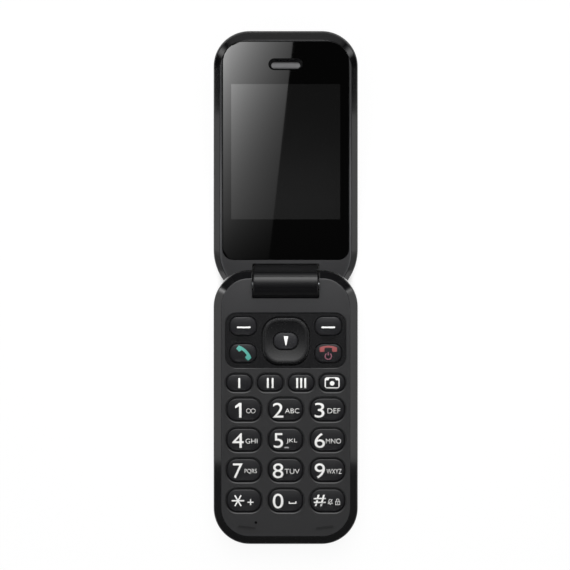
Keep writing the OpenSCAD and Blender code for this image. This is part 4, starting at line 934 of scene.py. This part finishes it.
class PHONE_OT_stage(bpy.types.Operator):
    """Sets up the floor, the lights, the cards and the camera"""
    bl_idname = "phone.stage"
    bl_label = "Stage"

    def execute(self, context):
        settings = context.scene.phone_stage
        self.floor(settings)
        self.sky(settings)
        self.lamp("fill", (0, 0.12, 0.42), (0, 0.02, 0), 0.45, 0.45, settings.fill_level)
        self.lamp("near", (0, 0.025, 0.045), (0, 0.025, 0), 0.06, 0.03, settings.near_level)
        self.glare(settings)
        self.rims(settings)
        self.flags()
        off_centre, camera_height = -0.27 * MM, 1.0
        camera = linked("camera", bpy.data.cameras.new("camera"))
        camera.data.type = "ORTHO"
        camera.data.ortho_scale = settings.frame_height
        camera.location = (off_centre, HINGE.y, camera_height)
        context.scene.camera = camera
        context.scene.view_settings.view_transform = "Standard"
        return {"FINISHED"}

    def floor(self, settings):
        """A wide floor, seen white, that keeps part of the phone's shadow, with painted shade under the
        phone: its colour and glow go dark where the phone hides the sky.
        """
        white_share, shade_reach = 0.94, 25 * MM
        bpy.ops.mesh.primitive_plane_add(size=4.0, location=(0, 0, CAD_BOX[0][2] - 0.1 * MM))
        floor = bpy.context.object
        floor.name = "floor"
        material, tree, shader, place = start_material("Painted floor, white", Roughness=0.9,
                                                       Specular_IOR_Level=0.0)
        pale = settings.floor_colour
        paint_tone = mottled(tree, place, shade(pale, 0.97), linear(pale), patch=0.3)
        path = add(tree, "LightPath").outputs
        mirrored = add(tree, "Math", [path["Is Glossy Ray"], path["Is Transmission Ray"]],
                       operation="MAXIMUM")
        seen = add(tree, "Math", [path["Is Camera Ray"], mirrored], operation="MAXIMUM")
        share = add(tree, "Math", [seen, white_share], operation="MULTIPLY")
        # Where the phone hides the sky, the floor's colour and glow are darkened towards near black: painted
        # shade.
        sky_share = add(tree, "AmbientOcclusion", {"Distance": shade_reach}, samples=8).outputs["AO"]
        outside_painted_shade = add(tree, "MapRange", {"Value": sky_share, "From Min": 0.2, "From Max": 0.45})
        tone = add(tree, "Mix", {"Factor": outside_painted_shade, "A": linear("#020202"), "B": paint_tone},
                   data_type="RGBA")
        feed(tree, shader, {"Base Color": tone})
        glow = add(tree, "Emission", {"Strength": outside_painted_shade})
        both = add(tree, "MixShader", [share, shader, glow])
        feed(tree, tree.nodes["Material Output"], {"Surface": both})
        floor.data.materials.append(material)

    def sky(self, settings):
        """A studio that is white round the horizon and dark overhead, with a soft light behind the lid."""
        world = bpy.data.worlds.new("studio")
        bpy.context.scene.world = world
        world.use_nodes = True
        tree = world.node_tree
        direction = add(tree, "TexCoord").outputs["Generated"]
        height = add(tree, "SeparateXYZ", [direction]).outputs["Z"]
        horizon = add(tree, "MapRange", {"Value": height, "From Min": 0.1, "From Max": 0.4, "To Min": 1.0,
                                         "To Max": 0.03}, interpolation_type="SMOOTHSTEP")
        key = (0, math.sin(KEY_FROM_TOP), math.cos(KEY_FROM_TOP))
        towards = add(tree, "VectorMath", [direction, key], operation="DOT_PRODUCT")
        fall = add(tree, "Math", [towards, KEY_FALL, -KEY_FALL], operation="MULTIPLY_ADD")
        lobe = add(tree, "Math", [fall], operation="EXPONENT")
        both = add(tree, "Math", [lobe, settings.key_level, horizon], operation="MULTIPLY_ADD")
        feed(tree, tree.nodes["Background"], {"Color": (1.0, 1.0, 1.0, 1.0), "Strength": both})

    def lamp(self, name, place, target, width, height, brightness):
        """A soft, even rectangular light, in metres, turned to a point. No reflection shows it."""
        light = bpy.data.lights.new(name, "AREA")
        light.shape = "RECTANGLE"
        light.size = width
        light.size_y = height
        light.energy = brightness * math.pi * width * height
        lamp = linked(name, light)
        lamp.location = place
        lamp.rotation_euler = (Vector(target) - Vector(place)).to_track_quat("-Z", "Y").to_euler()
        lamp.visible_camera = False
        lamp.visible_glossy = False

    def card(self, name, points, material):
        """A flat card that only reflections show."""
        mesh = bpy.data.meshes.new(name)
        mesh.from_pydata(points, [], [tuple(range(len(points)))])
        mesh.materials.append(material)
        card = linked(name, mesh)
        card.visible_camera = False
        card.visible_diffuse = False
        card.visible_shadow = False

    def upright(self, name, start, end, low, high, material):
        """An upright card between two points of the plan and between two heights, in millimetres."""
        points = [(start, low), (end, low), (end, high), (start, high)]
        self.card(name, [(x * MM, y * MM, z * MM) for (x, y), z in points], material)

    def glare(self, settings):
        """The bright card that the display lens mirrors, cut off along a slant and fading right and down."""
        mirror = GLARE_AWAY * Vector((0, -math.sin(2 * LID_TILT), math.cos(2 * LID_TILT)))
        corners = ((GLARE_LEFT, GLARE_NEAR), (SLANT_START + SLANT * GLARE_NEAR, GLARE_NEAR),
                   (SLANT_START + SLANT * GLARE_FAR, GLARE_FAR), (GLARE_LEFT, GLARE_FAR))
        points = [lid_point(x * MM, reach * MM, 0) + mirror for x, reach in corners]
        material, tree, _, place = start_material("Lit card")
        brightest = lid_point(GLARE_X * MM, GLARE_REACH * MM, 0) + mirror
        offset = add(tree, "VectorMath", [place, brightest], operation="SUBTRACT")
        fade = Vector((-1 / (FADE_ACROSS * MM), 0, 0)) + LID_ALONG / (FADE_ALONG * MM)
        depth = add(tree, "VectorMath", [offset, fade], operation="DOT_PRODUCT")
        fall = add(tree, "Math", [depth], operation="EXPONENT")
        reach = add(tree, "VectorMath", [offset, LID_ALONG], operation="DOT_PRODUCT")
        ending = add(tree, "MapRange", {
            "Value": reach, "From Min": DIM_END * MM, "From Max": DIM_START * MM,
            "To Min": DIM_SHARE * settings.glare_level, "To Max": settings.glare_level})
        strength = add(tree, "Math", [fall, ending], operation="MULTIPLY")
        glow = add(tree, "Emission", {"Strength": strength})
        feed(tree, tree.nodes["Material Output"], {"Surface": glow})
        self.card("glare_card", points, material)

    def lit_card(self, name, brightness):
        """The material of a card that glows evenly."""
        material, tree, _, place = start_material(name)
        tone = mottled(tree, place, linear("#f0f0f0"), linear("#ffffff"), patch=50 * MM)
        glow = add(tree, "Emission", {"Color": tone, "Strength": brightness})
        feed(tree, tree.nodes["Material Output"], {"Surface": glow})
        return material

    def glowing_card(self, name, brightness, middle_y, reach, white_end, dark_start):
        """The material of an upright card that is brightest at one place and white at its near end."""
        material, tree, _, place = start_material(name)
        along = add(tree, "SeparateXYZ", [place]).outputs["Y"]
        offset = add(tree, "MapRange", {
            "Value": along, "From Min": (middle_y - reach) * MM, "From Max": (middle_y + reach) * MM,
            "To Min": -1.0}, clamp=False)
        square = add(tree, "Math", [offset, offset], operation="MULTIPLY")
        fall = add(tree, "Math", [math.exp(-1), square], operation="POWER")
        near = add(tree, "MapRange", {
            "Value": along, "From Min": white_end * MM, "From Max": dark_start * MM,
            "To Min": 1.0, "To Max": 0.0}, interpolation_type="SMOOTHSTEP")
        strength = add(tree, "Math", [fall, brightness, near], operation="MULTIPLY_ADD")
        glow = add(tree, "Emission", {"Strength": strength})
        feed(tree, tree.nodes["Material Output"], {"Surface": glow})
        return material

    def rims(self, settings):
        """Bright cards that the bevels round the upper corners of both halves mirror."""
        lid_share = 0.5
        lid = self.glowing_card("Lit card, lid corners", lid_share * settings.rim_level,
                                middle_y=119, reach=18, white_end=60, dark_start=61)
        # The right side of the studio is darker.
        for x, name, share in ((-SIDE, "left", 1.0), (SIDE, "right", 0.55)):
            base = self.glowing_card(f"Lit card, {name} base corner", share * settings.rim_level,
                                     middle_y=61, reach=9, white_end=44, dark_start=60)
            self.upright(f"{name}_base_card", (x, 38), (x, 84), 0, 16, base)
            self.upright(f"{name}_lid_card", (x, 92), (x, 165), 47, 92, lid)

    def flags(self):
        """Dark cards that keep the white horizon, the floor and the lens's card out of some reflections."""
        black, tree, shader, place = start_material("Black flock", Roughness=0.9, Specular_IOR_Level=0.0)
        tone = mottled(tree, place, linear("#020202"), linear("#050505"), patch=5 * MM)
        feed(tree, shader, {"Base Color": tone})
        grey = self.lit_card("Grey card", brightness=0.45)
        dark = self.lit_card("Dark card", brightness=0.12)
        self.upright("tip_flag", (-SIDE, TIP_Y), (SIDE, TIP_Y), 0, 70, dark)
        self.upright("lid_top_flag", (-50, 120), (50, 120), 0, 51, grey)
        self.upright("barrel_flag", (-14, -2), (14, -2), 17, 25, black)
        just_over_floor = CAD_BOX[0][2] - 0.05 * MM
        heel = ((45, -45), (115, -45), (115, 0), (45, 0))
        for side, name in ((-1, "left"), (1, "right")):
            behind = side * BEHIND_SIDE
            self.upright(f"{name}_tip_flag", (side * SIDE, TIP_Y), (side * SIDE, -68), 0, 70, dark)
            self.upright(f"{name}_lid_flag", (behind, 39), (behind, 250), 0, 46, black)
            self.upright(f"{name}_nose_flag", (side * 13.3, 8.2), (side * 23.5, 8.2), 6.5, 11.7, black)
            points = [(side * x * MM, y * MM, just_over_floor) for x, y in heel]
            self.card(f"{name}_heel_flag", points, grey)


class PHONE_PT_panel(bpy.types.Panel):
    """Lists the steps that dress the phone"""
    bl_idname = "PHONE_PT_panel"
    bl_label = "Flip phone"
    bl_space_type = "VIEW_3D"
    bl_region_type = "UI"
    bl_category = "Phone"

    def draw(self, context):
        for step in STEPS:
            self.layout.operator(step.bl_idname)
        for group in GROUPS:
            settings = getattr(context.scene, group)
            for name in settings.bl_rna.properties.keys():
                if name not in ("rna_type", "name"):
                    self.layout.prop(settings, name)


GROUPS = {"phone_sizes": PhoneSizes, "phone_colours": PhoneColours, "phone_stage": StageSettings}
STEPS = (PHONE_OT_stage, PHONE_OT_case, PHONE_OT_keys, PHONE_OT_hinge, PHONE_OT_lens, PHONE_OT_inside,
         PHONE_OT_number_signs, PHONE_OT_quick_signs, PHONE_OT_call_signs, PHONE_OT_touch_mark)


def register():
    """Registers the classes and hangs the settings on the scene."""
    for kind in (*GROUPS.values(), *STEPS, PHONE_PT_panel):
        bpy.utils.register_class(kind)
    for name, kind in GROUPS.items():
        setattr(bpy.types.Scene, name, bpy.props.PointerProperty(type=kind))


def unregister():
    """Takes the settings and the classes away again."""
    for name in GROUPS:
        delattr(bpy.types.Scene, name)
    for kind in (PHONE_PT_panel, *reversed(STEPS), *GROUPS.values()):
        bpy.utils.unregister_class(kind)


def main():
    """Runs every step in order."""
    register()
    bpy.ops.phone.stage()
    bpy.ops.phone.case()
    bpy.ops.phone.keys()
    bpy.ops.phone.hinge()
    bpy.ops.phone.lens()
    bpy.ops.phone.inside()
    bpy.ops.phone.number_signs()
    bpy.ops.phone.quick_signs()
    bpy.ops.phone.call_signs()
    bpy.ops.phone.touch_mark()


if __name__ == "__main__":
    main()
